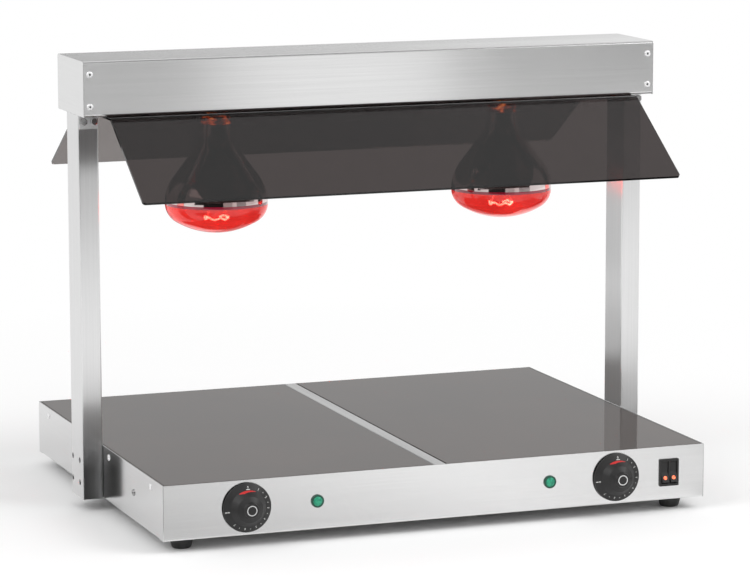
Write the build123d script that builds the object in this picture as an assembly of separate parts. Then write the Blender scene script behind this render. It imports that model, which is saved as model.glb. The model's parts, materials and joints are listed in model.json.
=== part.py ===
from build123d import *
import math
import os

# Food-warming station: a heated base with two glass plates, two posts and a header with two lamps.
# Millimetres. X runs to the right, Y to the rear, Z up. The origin is on the floor, below the base's middle.

# Base casing, folded from stainless sheet
BASE_WIDTH = 680.0
BASE_DEPTH = 542.0
CASING_HEIGHT = 65.0
SHEET = 1.2
BEND_RADIUS = 0.6
CASING_CORNER = 1.0
RETURN_FLANGE = 14.0
SIDE_TAB = 12.0
VENT_COUNT = 6
VENT_LENGTH = 60.0
VENT_WIDTH = 5.0
VENT_PITCH = 14.0

# Clearances: between pieces set together, round a fastener, and of a turning fit
FIT = 0.3
HOLE_FIT = 0.15
RUNNING = 0.05

# M4 and M5 fasteners, and how far a screw's end stands past its nut
M4_RADIUS = 2.0
M4_FLATS = 7.0
M4_NUT = 3.2
M5_RADIUS = 2.5
M5_FLATS = 8.0
M5_NUT = 4.0
SCREW_END = 1.5
HEAD_SIDES = 12
SHANK_SIDES = 8
HEAD_TAPER = 30.0

# Rubber feet
FOOT_HEIGHT = 15.0
FOOT_TOP_RADIUS = 15.0
FOOT_BOTTOM_RADIUS = 11.0
FOOT_EDGE = 2.0
FOOT_INSET = 31.0
FOOT_SCREW_HEAD_RADIUS = 4.0
FOOT_SCREW_HEAD = 3.0
FOOT_SCREW_RECESS = 6.0

# Glass plates, their rails and seals
GLASS_THICKNESS = 4.0
GLASS_BEVEL = 0.4
GLASS_EDGE_GAP = 1.3
GLASS_STRIP_GAP = 0.8
SEAL_BED = 1.0
SEAL_RECESS = 0.4
STRIP_WIDTH = 16.0
LEDGE_WIDTH = 14.0
END_RAIL_HEIGHT = 10.0
SIDE_RAIL_HEIGHT = 18.0
CENTRE_LEDGE = 10.0
GUTTER_INSET = 3.0
GUTTER_DEPTH = 18.0

# Heaters under the glass
HEATER_MAT = 3.0
INSULATION = 10.0
HEATER_END_MARGIN = 45.0
HEATER_SIDE_MARGIN = 12.0
PAN_LAP = 8.0

# Thermostats and knobs
KNOB_INSET = {"left": 100.0, "right": 116.0}
KNOB_HEIGHT = 33.0
KNOB_GAP = 1.5
KNOB_SKIRT_RADIUS = 29.0
KNOB_SKIRT_EDGE = 2.0
KNOB_DIAL = (21.5, 5.5)
KNOB_HUB = (15.5, 13.5)
KNOB_TOP = (9.5, 17.0)
KNOB_BOSS = (8.5, 20.0)
KNOB_BORE_DEPTH = 15.0
SPINDLE_RADIUS = 3.0
SPINDLE_FLAT = 1.5
SPINDLE_SEAT = 12.0
SPINDLE_HOLE_RADIUS = 4.0
THERMOSTAT_WIDTH = 38.0
THERMOSTAT_DEPTH = 28.0
THERMOSTAT_HEIGHT = 26.0
SENSOR_RADIUS = 3.0
SENSOR_LENGTH = 90.0

# Pilot lights
PILOT_INSET = {"left": 186.5, "right": 201.4}
PILOT_HEIGHT = 33.5
PILOT_BEZEL_RADIUS = 7.75
PILOT_BEZEL = 2.2
PILOT_BARREL_RADIUS = 6.2
PILOT_BARREL_LENGTH = 24.0
PILOT_LENS_RADIUS = 6.2
PILOT_LENS_SEAT = 1.2
PILOT_LENS_CROWN = 1.6
PILOT_NUT_FLATS = 16.0
PILOT_NUT_HEIGHT = 3.0

# Double rocker switch
SWITCH_INSET = 46.5
SWITCH_CENTRE_HEIGHT = 33.4
SWITCH_FLANGE_WIDTH = 25.0
SWITCH_FLANGE_HEIGHT = 33.0
SWITCH_FLANGE = 2.0
SWITCH_CORNER = 1.2
SWITCH_BODY_WIDTH = 22.6
SWITCH_BODY_HEIGHT = 30.0
SWITCH_BODY_DEPTH = 20.0
SWITCH_WALL = 1.2
SWITCH_WEB = 2.0
SWITCH_WELL_DEPTH = 12.0
ROCKER_RADIUS = 13.2
ROCKER_TILT = 10.0
ROCKER_VALLEY = 1.4
ROCKER_BACK = 5.0
ROCKER_PIVOT_DEPTH = 4.0
ROCKER_PIN_RADIUS = 1.4
ROCKER_PIN_LENGTH = 0.9
ROCKER_LENS_RADIUS = 2.3
ROCKER_LENS_DEPTH = 1.6
ROCKER_LENS_DROP = 7.0
BLADE_WIDTH = 4.8
BLADE_THICKNESS = 0.8
BLADE_LENGTH = 8.0
BLADE_PITCH = 7.5

# Mains inlet at the rear
GLAND_INSET = 90.0
GLAND_HEIGHT = 30.0
GLAND_THREAD_RADIUS = 8.0
GLAND_THREAD_LENGTH = 9.0
GLAND_BORE_RADIUS = 4.5
GLAND_FLATS = 22.0
GLAND_BODY = 8.0
GLAND_CAP_RADIUS = 9.5
GLAND_CAP = 10.0
LOCKNUT_FLATS = 22.0
LOCKNUT_HEIGHT = 4.0
TERMINAL_LENGTH = 58.0
TERMINAL_DEPTH = 20.0
TERMINAL_HEIGHT = 16.0
TERMINAL_WAYS = 5
TERMINAL_WELL = 5.0
TERMINAL_WELL_DEPTH = 6.0
TERMINAL_SETBACK = 40.0

# Pop rivets and the earth screw
RIVET_HEAD_RADIUS = 4.0
RIVET_HEAD = 1.3
RIVET_RADIUS = 1.6
RIVET_TAIL = 3.0
SIDE_RIVET_DROP = 10.0
SIDE_RIVET_POST_GAP = 25.0
SIDE_RIVET_INSET = 49.0
EARTH_SCREW_INSET = 118.0
EARTH_SCREW_HEIGHT = 33.7
EARTH_SCREW_HEAD_RADIUS = 4.0
EARTH_SCREW_HEAD = 1.6

# Posts and their fixings
POST_WIDTH = 25.0
POST_DEPTH = 50.0
POST_WALL = 1.5
POST_CORNER = 2.0
POST_ACCESS_RADIUS = 3.6
POST_SCREW_HEAD_RADIUS = 3.2
POST_SCREW_HEAD = 2.4
POST_SCREW_SPACING_Y = 30.0
POST_SCREW_SPACING_Z = 27.0
POST_SCREW_Y = 4.5
POST_SCREW_HEIGHT = 32.5
BACKING_PLATE = 3.0
BACKING_MARGIN = 8.0

# Header box
HEADER_CLEAR_HEIGHT = 465.0
HEADER_DEPTH = 112.0
HEADER_HEIGHT = 66.0
HEADER_BEND = 2.0
HEADER_RETURN = 12.0
CAP_FLANGE = 15.0
HEADER_RIVET_END = 8.0
HEADER_RIVET_DROPS = (15.5, 53.5)
BRACKET_SHEET = 2.0
BRACKET_DROP = 18.0
BRACKET_SIDE_GAP = 1.0
BRACKET_BOLT_HEAD = 3.5
BRACKET_BOLT_TAIL = 2.0
BRACKET_BOLT_SPACING = 12.9
BRACKET_BOLT_DROP = 8.0

# Lamps and lampholders; the neck is given by radius and distance below the lamp's top
LAMP_NECK_START = (19.0, 67.5)
LAMP_NECK_END = (17.2, 40.0)
LAMP_STEM = (12.2, 34.0)
LAMP_STEM_TOP = 28.0
LAMP_SPACING = 372.0
LAMP_RADIUS = 62.5
LAMP_FACE_DEPTH = 36.0
LAMP_CORNER = 26.0
LAMP_SHOULDER_RADIUS = 50.0
LAMP_NECK_BLEND = 40.0
LAMP_GLASS = 1.2
LAMP_LENGTH = 178.0
LAMP_INSERTION = 26.0
CAP_RADIUS = 13.2
CAP_WALL = 0.7
CAP_LENGTH = 33.0
CAP_INSULATOR = 4.0
CAP_CONTACT_RADIUS = 4.5
CAP_CONTACT = 2.0
STEM_RADIUS = 4.0
STEM_LENGTH = 80.0
STEM_SEAT = 2.0
FILAMENT_RADIUS = 16.0
FILAMENT_HEIGHT = 28.0
WIRE = 1.2
HOLDER_RADIUS = 20.0
HOLDER_LENGTH = 40.0
HOLDER_SHOULDER = 6.0
LAMP_HOLE_RADIUS = 21.5
STRAP_SHEET = 1.5
STRAP_WIDTH = 22.0
STRAP_HALF_SPAN = 28.0
STRAP_FOOT = 16.0

# Smoked guards
GUARD_THICKNESS = 3.0
GUARD_SIDE_GAP = 2.0
GUARD_INNER_EDGE = 30.0
GUARD_BEND = 70.0
GUARD_BEND_RADIUS = 5.0
GUARD_REACH = 200.0
GUARD_DROP = 84.0
GUARD_CORNER = 4.0
GUARD_SCREW_INSETS = (50.0, 230.0)
GUARD_SCREW_HEAD_RADIUS = 4.75
GUARD_SCREW_HEAD = 2.8

# Levels and half sizes that follow from the values above
SIDES = {"left": -1, "right": 1}
ENDS = {"front": -1, "rear": 1}
CASING_BOTTOM = FOOT_HEIGHT
CASING_TOP = CASING_BOTTOM + CASING_HEIGHT
HALF_WIDTH = BASE_WIDTH / 2
HALF_DEPTH = BASE_DEPTH / 2
INNER_X = HALF_WIDTH - SHEET
INNER_Y = HALF_DEPTH - SHEET
FLOOR_TOP = CASING_BOTTOM + 2 * SHEET
GLASS_BOTTOM = CASING_TOP - GLASS_THICKNESS
LEDGE_TOP = GLASS_BOTTOM - SEAL_BED
WINDOW_X = (STRIP_WIDTH / 2 + CENTRE_LEDGE, INNER_X - LEDGE_WIDTH)
WINDOW_Y = INNER_Y - LEDGE_WIDTH
HEATER_X = (WINDOW_X[0] + HEATER_SIDE_MARGIN, WINDOW_X[1] - HEATER_SIDE_MARGIN)
HEATER_Y = HALF_DEPTH - HEATER_END_MARGIN
MAT_BOTTOM = GLASS_BOTTOM - HEATER_MAT
PAN_FLOOR = MAT_BOTTOM - INSULATION
POST_CENTRE = HALF_WIDTH + POST_WIDTH / 2
HEADER_BOTTOM = CASING_BOTTOM + HEADER_CLEAR_HEIGHT
HEADER_TOP = HEADER_BOTTOM + HEADER_HEIGHT
HEADER_HALF = HALF_WIDTH + POST_WIDTH + FIT + SHEET
HEADER_INNER_X = HEADER_HALF - SHEET
HEADER_HALF_DEPTH = HEADER_DEPTH / 2
HEADER_FLOOR = HEADER_BOTTOM + 2 * SHEET
KNOB_X = {side: SIDES[side] * (HALF_WIDTH - KNOB_INSET[side]) for side in SIDES}
PILOT_X = {side: SIDES[side] * (HALF_WIDTH - PILOT_INSET[side]) for side in SIDES}
SWITCH_X = HALF_WIDTH - SWITCH_INSET
GLAND_X = HALF_WIDTH - GLAND_INSET
SIDE_RIVET_Y = (POST_DEPTH / 2 + SIDE_RIVET_POST_GAP, HALF_DEPTH - SIDE_RIVET_INSET)
EARTH_SCREW_Y = EARTH_SCREW_INSET - HALF_DEPTH
GUARD_SCREW_X = [HALF_WIDTH - inset for inset in GUARD_SCREW_INSETS]
LAMP_BOTTOM = HEADER_BOTTOM + LAMP_INSERTION - LAMP_LENGTH
LAMP_FACE_RADIUS = LAMP_RADIUS ** 2 + LAMP_FACE_DEPTH ** 2 - 2 * LAMP_RADIUS * LAMP_CORNER
LAMP_FACE_RADIUS /= 2 * (LAMP_FACE_DEPTH - LAMP_CORNER)


def box(x0, x1, y0, y1, z0, z1):
    """A block between two corners, given in any order along each axis."""
    low = (min(x0, x1), min(y0, y1), min(z0, z1))
    size = (abs(x1 - x0), abs(y1 - y0), abs(z1 - z0))
    return Pos(*low) * Box(*size, align=(Align.MIN, Align.MIN, Align.MIN))


def place(shape, at, axis):
    """Stands a shape made along +Z at a point, with its Z along axis."""
    return Plane(origin=at, z_dir=axis) * shape


def rod(at, axis, radius, length):
    """A round bar that starts at a point and runs along axis."""
    bar = Cylinder(radius, length, align=(Align.CENTER, Align.CENTER, Align.MIN))
    return place(bar, at, axis)


def turned(points):
    """A solid of revolution about Z from a closed outline of (radius, height) points."""
    return revolve(Plane.XZ * make_face(Polyline(*points, close=True)), Axis.Z)


def prism_x(section, x0, x1):
    """A section drawn in (Y, Z), run from x0 to x1."""
    return extrude(Plane.YZ.offset(x0) * section, amount=x1 - x0, dir=(1, 0, 0))


def prism_y(section, y0, y1):
    """A section drawn in (X, Z), run from y0 to y1."""
    plane = Plane(origin=(0, y0, 0), x_dir=(1, 0, 0), z_dir=(0, -1, 0))
    return extrude(plane * section, amount=y1 - y0, dir=(0, 1, 0))


def folded(points, thickness=SHEET, radius=BEND_RADIUS):
    """The section of a sheet folded along a line of points, with its thickness to the left of the line."""
    line = [Vector(*point) for point in points]
    runs = [(b - a).normalized() for a, b in zip(line, line[1:])]
    sides = [Vector(-run.Y, run.X) for run in runs]
    shifted = [line[0] + sides[0] * thickness]
    outer_radii = [0]
    inner_radii = [0]
    for corner, before, after in zip(line[1:-1], sides, sides[1:]):
        mitre = (before + after) * (thickness / (1 + before.dot(after)))
        shifted.append(corner + mitre)
        turns_left = before.X * after.Y - before.Y * after.X > 0
        outer_radii.append(radius + thickness if turns_left else radius)
        inner_radii.append(radius if turns_left else radius + thickness)
    shifted.append(line[-1] + sides[-1] * thickness)
    outline = line + shifted[::-1]
    radii = outer_radii + [0, 0] + inner_radii[::-1]
    return make_face(FilletPolyline(*outline, radius=radii, close=True))


def other_side(shape):
    """The same piece on the right-hand side."""
    return mirror(shape, about=Plane.YZ)


def at_rear(shape):
    """The same piece at the rear."""
    return mirror(shape, about=Plane.XZ)


def group(shapes):
    """Separate solids kept together in one node."""
    return Compound([solid for shape in shapes for solid in shape.solids()])


def shank(at, axis, radius, length):
    """A fastener's shank, or its hole, with few sides, from a point along axis."""
    return place(extrude(RegularPolygon(radius, SHANK_SIDES), amount=length), at, axis)


def screw_hole(at, axis, radius, length):
    """The clearance hole for a shank of the given radius."""
    return shank(at, axis, radius + HOLE_FIT, length)


def pan_screw(radius, length, head_radius, head):
    """A screw or rivet with a low tapered head above Z = 0 and its shank below."""
    top = extrude(RegularPolygon(head_radius, HEAD_SIDES), amount=head, taper=HEAD_TAPER)
    return top + shank((0, 0, -length), (0, 0, 1), radius, length)


def hex_blank(flats, height):
    """A hexagon on Z = 0."""
    return extrude(RegularPolygon(flats / 2, 6, major_radius=False), amount=height)


def hex_nut(flats, height, radius):
    """A nut on Z = 0 that a shank of the given radius passes through."""
    return hex_blank(flats, height) - screw_hole((0, 0, -height), (0, 0, 1), radius, 3 * height)


def ring_nut(flats, height, radius):
    """A thin nut on Z = 0 for a round barrel of the given radius."""
    return hex_blank(flats, height) - Cylinder(radius + HOLE_FIT, 3 * height)


def hex_bolt(radius, length, flats, head):
    """A bolt with its hexagon head above Z = 0 and its shank below."""
    return hex_blank(flats, head) + shank((0, 0, -length), (0, 0, 1), radius, length)


def pop_rivet():
    """A blind rivet through two sheets, with its head above Z = 0."""
    return pan_screw(RIVET_RADIUS, 2 * SHEET + RIVET_TAIL, RIVET_HEAD_RADIUS, RIVET_HEAD)


# Base casing

def end_wall():
    """The front wall with its bottom return and a tab at each end, before any holes."""
    wall = -HALF_DEPTH
    corner = (wall, CASING_BOTTOM)
    section = folded([(wall, CASING_TOP), corner, (wall + RETURN_FLANGE, CASING_BOTTOM)])
    panel = prism_x(section, -INNER_X + FIT, INNER_X - FIT)
    tab_top = LEDGE_TOP - SIDE_RAIL_HEIGHT - FIT
    for side in SIDES.values():
        end = box(side * (INNER_X - FIT), side * HALF_WIDTH, wall, -INNER_Y, CASING_BOTTOM, CASING_TOP)
        outer = end.edges().filter_by(Axis.Z).sort_by_distance((side * BASE_WIDTH, -BASE_DEPTH, 0))[0]
        panel += fillet(outer, min(CASING_CORNER, SHEET - HOLE_FIT))
        inside = side * (INNER_X - SHEET)
        panel += box(inside, side * INNER_X, -INNER_Y, wall + SIDE_TAB, CASING_BOTTOM, tab_top)
    return panel


def front_panel():
    """The front wall, cut for the spindles, the pilot lights and the switch."""
    panel = end_wall()
    front = -HALF_DEPTH - SHEET
    for x in KNOB_X.values():
        panel -= rod((x, front, CASING_BOTTOM + KNOB_HEIGHT), (0, 1, 0), SPINDLE_HOLE_RADIUS, 3 * SHEET)
    for x in PILOT_X.values():
        start = (x, front, CASING_BOTTOM + PILOT_HEIGHT)
        panel -= rod(start, (0, 1, 0), PILOT_BARREL_RADIUS + FIT, 3 * SHEET)
    opening = Rectangle(SWITCH_BODY_WIDTH + 2 * HOLE_FIT, SWITCH_BODY_HEIGHT + 2 * HOLE_FIT)
    return panel - on_front(SWITCH_X, SWITCH_CENTRE_HEIGHT) * extrude(opening, amount=SHEET, both=True)


def rear_panel():
    """The rear wall, cut for the cable gland."""
    start = (GLAND_X, HALF_DEPTH + SHEET, CASING_BOTTOM + GLAND_HEIGHT)
    return at_rear(end_wall()) - rod(start, (0, -1, 0), GLAND_THREAD_RADIUS + FIT, 4 * SHEET)


def post_screw_places():
    """The (Y, Z) places of the four screws that hold a post."""
    middle = CASING_BOTTOM + POST_SCREW_HEIGHT
    half_y = POST_SCREW_SPACING_Y / 2
    half_z = POST_SCREW_SPACING_Z / 2
    return [(POST_SCREW_Y + y, middle + z) for y in (-half_y, half_y) for z in (-half_z, half_z)]


def side_rivet_places():
    """The (Y, Z) places of the rivets along a side."""
    height = CASING_TOP - SIDE_RIVET_DROP
    return [(end * y, height) for y in SIDE_RIVET_Y for end in ENDS.values()]


def side_panel():
    """The left wall with its bottom return, drilled for rivets and for the post's screws."""
    wall = -HALF_WIDTH
    reach = HALF_DEPTH - RETURN_FLANGE - FIT
    corner = (wall, CASING_BOTTOM)
    section = folded([(wall, CASING_TOP), corner, (wall + RETURN_FLANGE, CASING_BOTTOM)])
    panel = prism_y(section, -reach, reach)
    for end in ENDS.values():
        panel += box(wall, -INNER_X, end * reach, end * INNER_Y, CASING_BOTTOM, CASING_TOP)
    for y, z in side_rivet_places():
        panel -= screw_hole((wall - SHEET, y, z), (1, 0, 0), RIVET_RADIUS, 3 * SHEET)
    for y, z in post_screw_places():
        panel -= screw_hole((wall - SHEET, y, z), (1, 0, 0), M4_RADIUS, 3 * SHEET)
    return panel


def left_side_panel():
    """The left wall also has the hole for the earth screw."""
    start = (-HALF_WIDTH - SHEET, EARTH_SCREW_Y, CASING_BOTTOM + EARTH_SCREW_HEIGHT)
    return side_panel() - screw_hole(start, (1, 0, 0), M4_RADIUS, 3 * SHEET)


def foot_places():
    """The (X, Y) centres of the four feet."""
    x = HALF_WIDTH - FOOT_INSET
    y = HALF_DEPTH - FOOT_INSET
    return [(side * x, end * y) for end in ENDS.values() for side in SIDES.values()]


def bottom_plate():
    """The floor sheet, laid on the walls' returns, with vent slots and foot holes."""
    half_x = INNER_X - SHEET - BEND_RADIUS - FIT
    half_y = INNER_Y - BEND_RADIUS - FIT
    plate = box(-half_x, half_x, -half_y, half_y, FLOOR_TOP - SHEET, FLOOR_TOP)
    slot = extrude(Rectangle(VENT_LENGTH, VENT_WIDTH), amount=4 * SHEET)
    first = -(VENT_COUNT - 1) / 2 * VENT_PITCH
    for side in SIDES.values():
        middle = side * (WINDOW_X[0] + WINDOW_X[1]) / 2
        for row in range(VENT_COUNT):
            plate -= Pos(middle, first + row * VENT_PITCH, FLOOR_TOP - 2 * SHEET) * slot
    for x, y in foot_places():
        plate -= screw_hole((x, y, CASING_BOTTOM), (0, 0, 1), M4_RADIUS, 4 * SHEET)
    return plate


def foot():
    """A tapered rubber foot with a recess for its screw, centred on X = Y = 0."""
    top = FOOT_HEIGHT + SHEET
    tread = FOOT_BOTTOM_RADIUS - FOOT_EDGE
    body = turned([(0, 0), (tread, 0), (FOOT_BOTTOM_RADIUS, FOOT_EDGE), (FOOT_TOP_RADIUS, top), (0, top)])
    recess = RegularPolygon(FOOT_SCREW_HEAD_RADIUS + FIT, HEAD_SIDES)
    body -= extrude(recess, amount=FOOT_SCREW_RECESS)
    return body - screw_hole((0, 0, 0), (0, 0, 1), M4_RADIUS, 2 * top)


def foot_screw():
    """A screw from below through a foot and the floor sheet, centred on X = Y = 0."""
    length = FLOOR_TOP + M4_NUT + SCREW_END - FOOT_SCREW_RECESS
    screw = pan_screw(M4_RADIUS, length, FOOT_SCREW_HEAD_RADIUS, FOOT_SCREW_HEAD)
    return place(screw, (0, 0, FOOT_SCREW_RECESS), (0, 0, -1))


# Glass plates and what carries them

def end_rail():
    """The front angle that carries the plates' front edges."""
    wall = -INNER_Y
    points = [(wall + LEDGE_WIDTH, LEDGE_TOP), (wall, LEDGE_TOP), (wall, LEDGE_TOP - END_RAIL_HEIGHT)]
    return prism_x(folded(points), -INNER_X + FIT, INNER_X - FIT)


def backing_plate():
    """The plate inside the left wall that the post's screws are tapped into."""
    places = post_screw_places()
    y = [place[0] for place in places]
    z = [place[1] for place in places]
    low = (min(y) - BACKING_MARGIN, min(z) - BACKING_MARGIN)
    high = (max(y) + BACKING_MARGIN, max(z) + BACKING_MARGIN)
    inside = -INNER_X + BACKING_PLATE
    plate = box(-INNER_X, inside, low[0], high[0], low[1], high[1])
    for y, z in places:
        plate -= screw_hole((-HALF_WIDTH, y, z), (1, 0, 0), M4_RADIUS, 3 * BACKING_PLATE)
    return plate


def side_rail():
    """The left angle, riveted to the wall and notched over the post's backing plate."""
    wall = -INNER_X
    reach = INNER_Y - LEDGE_WIDTH - FIT
    points = [(wall, LEDGE_TOP - SIDE_RAIL_HEIGHT), (wall, LEDGE_TOP), (wall + LEDGE_WIDTH, LEDGE_TOP)]
    rail = prism_y(folded([(-x, z) for x, z in points]), -reach, reach)
    rail = mirror(rail, about=Plane.YZ)
    plate = backing_plate().bounding_box()
    rail -= box(wall, plate.max.X + FIT, plate.min.Y - FIT, plate.max.Y + FIT, 0, plate.max.Z + FIT)
    for y, z in side_rivet_places():
        rail -= screw_hole((wall - SHEET, y, z), (1, 0, 0), RIVET_RADIUS, 3 * SHEET)
    return rail


def centre_rail():
    """The gutter between the plates, with a ledge on each side."""
    reach = WINDOW_Y - FIT
    edge = WINDOW_X[0]
    leg = STRIP_WIDTH / 2 - GUTTER_INSET
    base = LEDGE_TOP - GUTTER_DEPTH
    right = [(leg, base), (leg, LEDGE_TOP), (edge, LEDGE_TOP)]
    left = [(-x, z) for x, z in reversed(right)]
    return prism_y(folded(right[::-1] + left[::-1]), -reach, reach)


def centre_strip():
    """The folded steel strip that fills the joint between the plates."""
    edge = STRIP_WIDTH / 2
    points = [(edge, LEDGE_TOP), (edge, CASING_TOP), (-edge, CASING_TOP), (-edge, LEDGE_TOP)]
    return prism_y(folded(points), -INNER_Y + FIT, INNER_Y - FIT)


def glass_plate():
    """The left glass-ceramic plate, with its top edges bevelled."""
    outer = INNER_X - GLASS_EDGE_GAP
    inner = STRIP_WIDTH / 2 + GLASS_STRIP_GAP
    half_y = INNER_Y - GLASS_EDGE_GAP
    plate = box(-outer, -inner, -half_y, half_y, GLASS_BOTTOM, CASING_TOP)
    return chamfer(plate.faces().sort_by(Axis.Z)[-1].edges(), GLASS_BEVEL)


def glass_seal():
    """The silicone that beds the left plate on its ledges and fills the joint round it."""
    glass = glass_plate().bounding_box()
    top = CASING_TOP - SEAL_RECESS
    seal = box(-INNER_X, -STRIP_WIDTH / 2, -INNER_Y, INNER_Y, LEDGE_TOP, top)
    seal -= box(glass.min.X, glass.max.X, glass.min.Y, glass.max.Y, GLASS_BOTTOM, CASING_TOP)
    return seal - box(-WINDOW_X[1], -WINDOW_X[0], -WINDOW_Y, WINDOW_Y, 0, CASING_TOP)


def sensor_place(side):
    """The X place of a thermostat's sensor, in the middle of its own plate's heater."""
    return SIDES[side] * (HEATER_X[0] + HEATER_X[1]) / 2


def heater_mat():
    """The heating mat bonded under the left plate."""
    return box(-HEATER_X[1], -HEATER_X[0], -HEATER_Y, HEATER_Y, MAT_BOTTOM, GLASS_BOTTOM)


def insulation():
    """The insulating pad under the left mat, grooved for the thermostat's sensor."""
    pad = box(-HEATER_X[1], -HEATER_X[0], -HEATER_Y, HEATER_Y, PAN_FLOOR, MAT_BOTTOM)
    half = SENSOR_RADIUS + FIT
    x = sensor_place("left")
    end = SENSOR_LENGTH / 2 + FIT
    return pad - box(x - half, x + half, -end, end, MAT_BOTTOM - 2 * half, MAT_BOTTOM)


def sensor():
    """The thermostat's sensor, lying in the left pad's groove against the mat."""
    start = (sensor_place("left"), -SENSOR_LENGTH / 2, MAT_BOTTOM - SENSOR_RADIUS - FIT)
    return rod(start, (0, 1, 0), SENSOR_RADIUS, SENSOR_LENGTH)


def heater_pan():
    """The pan that holds the left pad up; its rim hangs under the ledges."""
    rim_top = LEDGE_TOP - SHEET
    wall = SHEET + FIT
    outer = (WINDOW_X[1] + PAN_LAP, WINDOW_X[0] - PAN_LAP, WINDOW_Y + PAN_LAP)
    pan = box(-outer[0], -outer[1], -outer[2], outer[2], rim_top - SHEET, rim_top)
    low = (HEATER_X[1] + wall, HEATER_X[0] - wall, HEATER_Y + wall)
    pan += box(-low[0], -low[1], -low[2], low[2], PAN_FLOOR - SHEET, rim_top)
    hollow = (HEATER_X[1] + FIT, HEATER_X[0] - FIT, HEATER_Y + FIT)
    return pan - box(-hollow[0], -hollow[1], -hollow[2], hollow[2], PAN_FLOOR, CASING_TOP)


# Controls

def thermostat(x):
    """A thermostat body behind the front panel, with the bore its spindle turns in."""
    z = CASING_BOTTOM + KNOB_HEIGHT
    half_x = THERMOSTAT_WIDTH / 2
    half_z = THERMOSTAT_HEIGHT / 2
    body = box(x - half_x, x + half_x, -INNER_Y, -INNER_Y + THERMOSTAT_DEPTH, z - half_z, z + half_z)
    return body - rod((x, -INNER_Y, z), (0, 1, 0), SPINDLE_RADIUS + RUNNING, SPINDLE_SEAT)


def spindle_length():
    """From the bottom of the thermostat's bore to the end of the knob's bore."""
    return SPINDLE_SEAT + SHEET - FIT + KNOB_GAP + KNOB_BORE_DEPTH - FIT


def spindle(x):
    """A thermostat's spindle, with a flat where the knob sits."""
    back = SHEET + SPINDLE_SEAT - FIT
    shaft = rod((0, 0, -back), (0, 0, 1), SPINDLE_RADIUS, spindle_length())
    flat = box(-SPINDLE_RADIUS, SPINDLE_RADIUS, SPINDLE_FLAT, SPINDLE_RADIUS, KNOB_GAP, spindle_length())
    return on_front(x, KNOB_HEIGHT) * (shaft - flat)


def knob(x):
    """A skirted knob: a sloping dial, a tapered hub, a raised boss and a bore with a flat."""
    skirt = [(0, 0), (KNOB_SKIRT_RADIUS, 0), (KNOB_SKIRT_RADIUS, KNOB_SKIRT_EDGE)]
    body = turned(skirt + [KNOB_DIAL, KNOB_HUB, KNOB_TOP, KNOB_BOSS, (0, KNOB_BOSS[1])])
    bore = rod((0, 0, 0), (0, 0, 1), SPINDLE_RADIUS + RUNNING, KNOB_BORE_DEPTH)
    reach = 2 * SPINDLE_RADIUS
    bore -= box(-reach, reach, SPINDLE_FLAT + RUNNING, reach, 0, KNOB_BORE_DEPTH)
    return on_front(x, KNOB_HEIGHT) * Pos(0, 0, KNOB_GAP) * (body - bore)


def on_front(x, height):
    """A plane on the front panel's face, with Z out of the panel."""
    return Plane(origin=(x, -HALF_DEPTH, CASING_BOTTOM + height), x_dir=(1, 0, 0), z_dir=(0, -1, 0))


def pilot_body(x):
    """A pilot light's bezel and barrel, hollow at the front for the lens."""
    recess = PILOT_LENS_RADIUS + HOLE_FIT
    floor = PILOT_BEZEL - PILOT_LENS_SEAT
    back = -SHEET - PILOT_BARREL_LENGTH
    outline = [(0, back), (PILOT_BARREL_RADIUS, back), (PILOT_BARREL_RADIUS, 0), (PILOT_BEZEL_RADIUS, 0)]
    lip = PILOT_BEZEL_RADIUS - floor
    outline += [(PILOT_BEZEL_RADIUS, floor), (max(lip, recess), PILOT_BEZEL), (recess, PILOT_BEZEL)]
    return on_front(x, PILOT_HEIGHT) * turned(outline + [(recess, floor), (0, floor)])


def pilot_lens(x):
    """A pilot light's crowned lens, seated in its bezel."""
    floor = PILOT_BEZEL - PILOT_LENS_SEAT
    edge = (PILOT_LENS_RADIUS, PILOT_BEZEL)
    top = (0, PILOT_BEZEL + PILOT_LENS_CROWN)
    sphere = (PILOT_LENS_RADIUS ** 2 + PILOT_LENS_CROWN ** 2) / (2 * PILOT_LENS_CROWN)
    crown = RadiusArc(top, edge, sphere)
    rest = Polyline(edge, (PILOT_LENS_RADIUS, floor), (0, floor), top)
    return on_front(x, PILOT_HEIGHT) * revolve(Plane.XZ * make_face(crown + rest), Axis.Z)


def pilot_nut(x):
    """The nut that holds a pilot light from behind the panel."""
    nut = ring_nut(PILOT_NUT_FLATS, PILOT_NUT_HEIGHT, PILOT_BARREL_RADIUS)
    return place(nut, (x, -INNER_Y, CASING_BOTTOM + PILOT_HEIGHT), (0, 1, 0))


def well_width():
    """The width of the well that each rocker sits in."""
    return (SWITCH_BODY_WIDTH - 2 * SWITCH_WALL - SWITCH_WEB) / 2


def rocker_offset(side):
    """The X place of a rocker's middle, from the switch's middle."""
    return SIDES[side] * (SWITCH_WEB + well_width()) / 2


def pivot_pin(side, radius, spare):
    """The pin across a rocker, in the switch's own plane, whose ends sit in the housing's walls."""
    half = well_width() / 2 - FIT + ROCKER_PIN_LENGTH + spare
    start = (rocker_offset(side) - half, 0, SWITCH_FLANGE - ROCKER_PIVOT_DEPTH)
    return rod(start, (1, 0, 0), radius, 2 * half)


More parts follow.
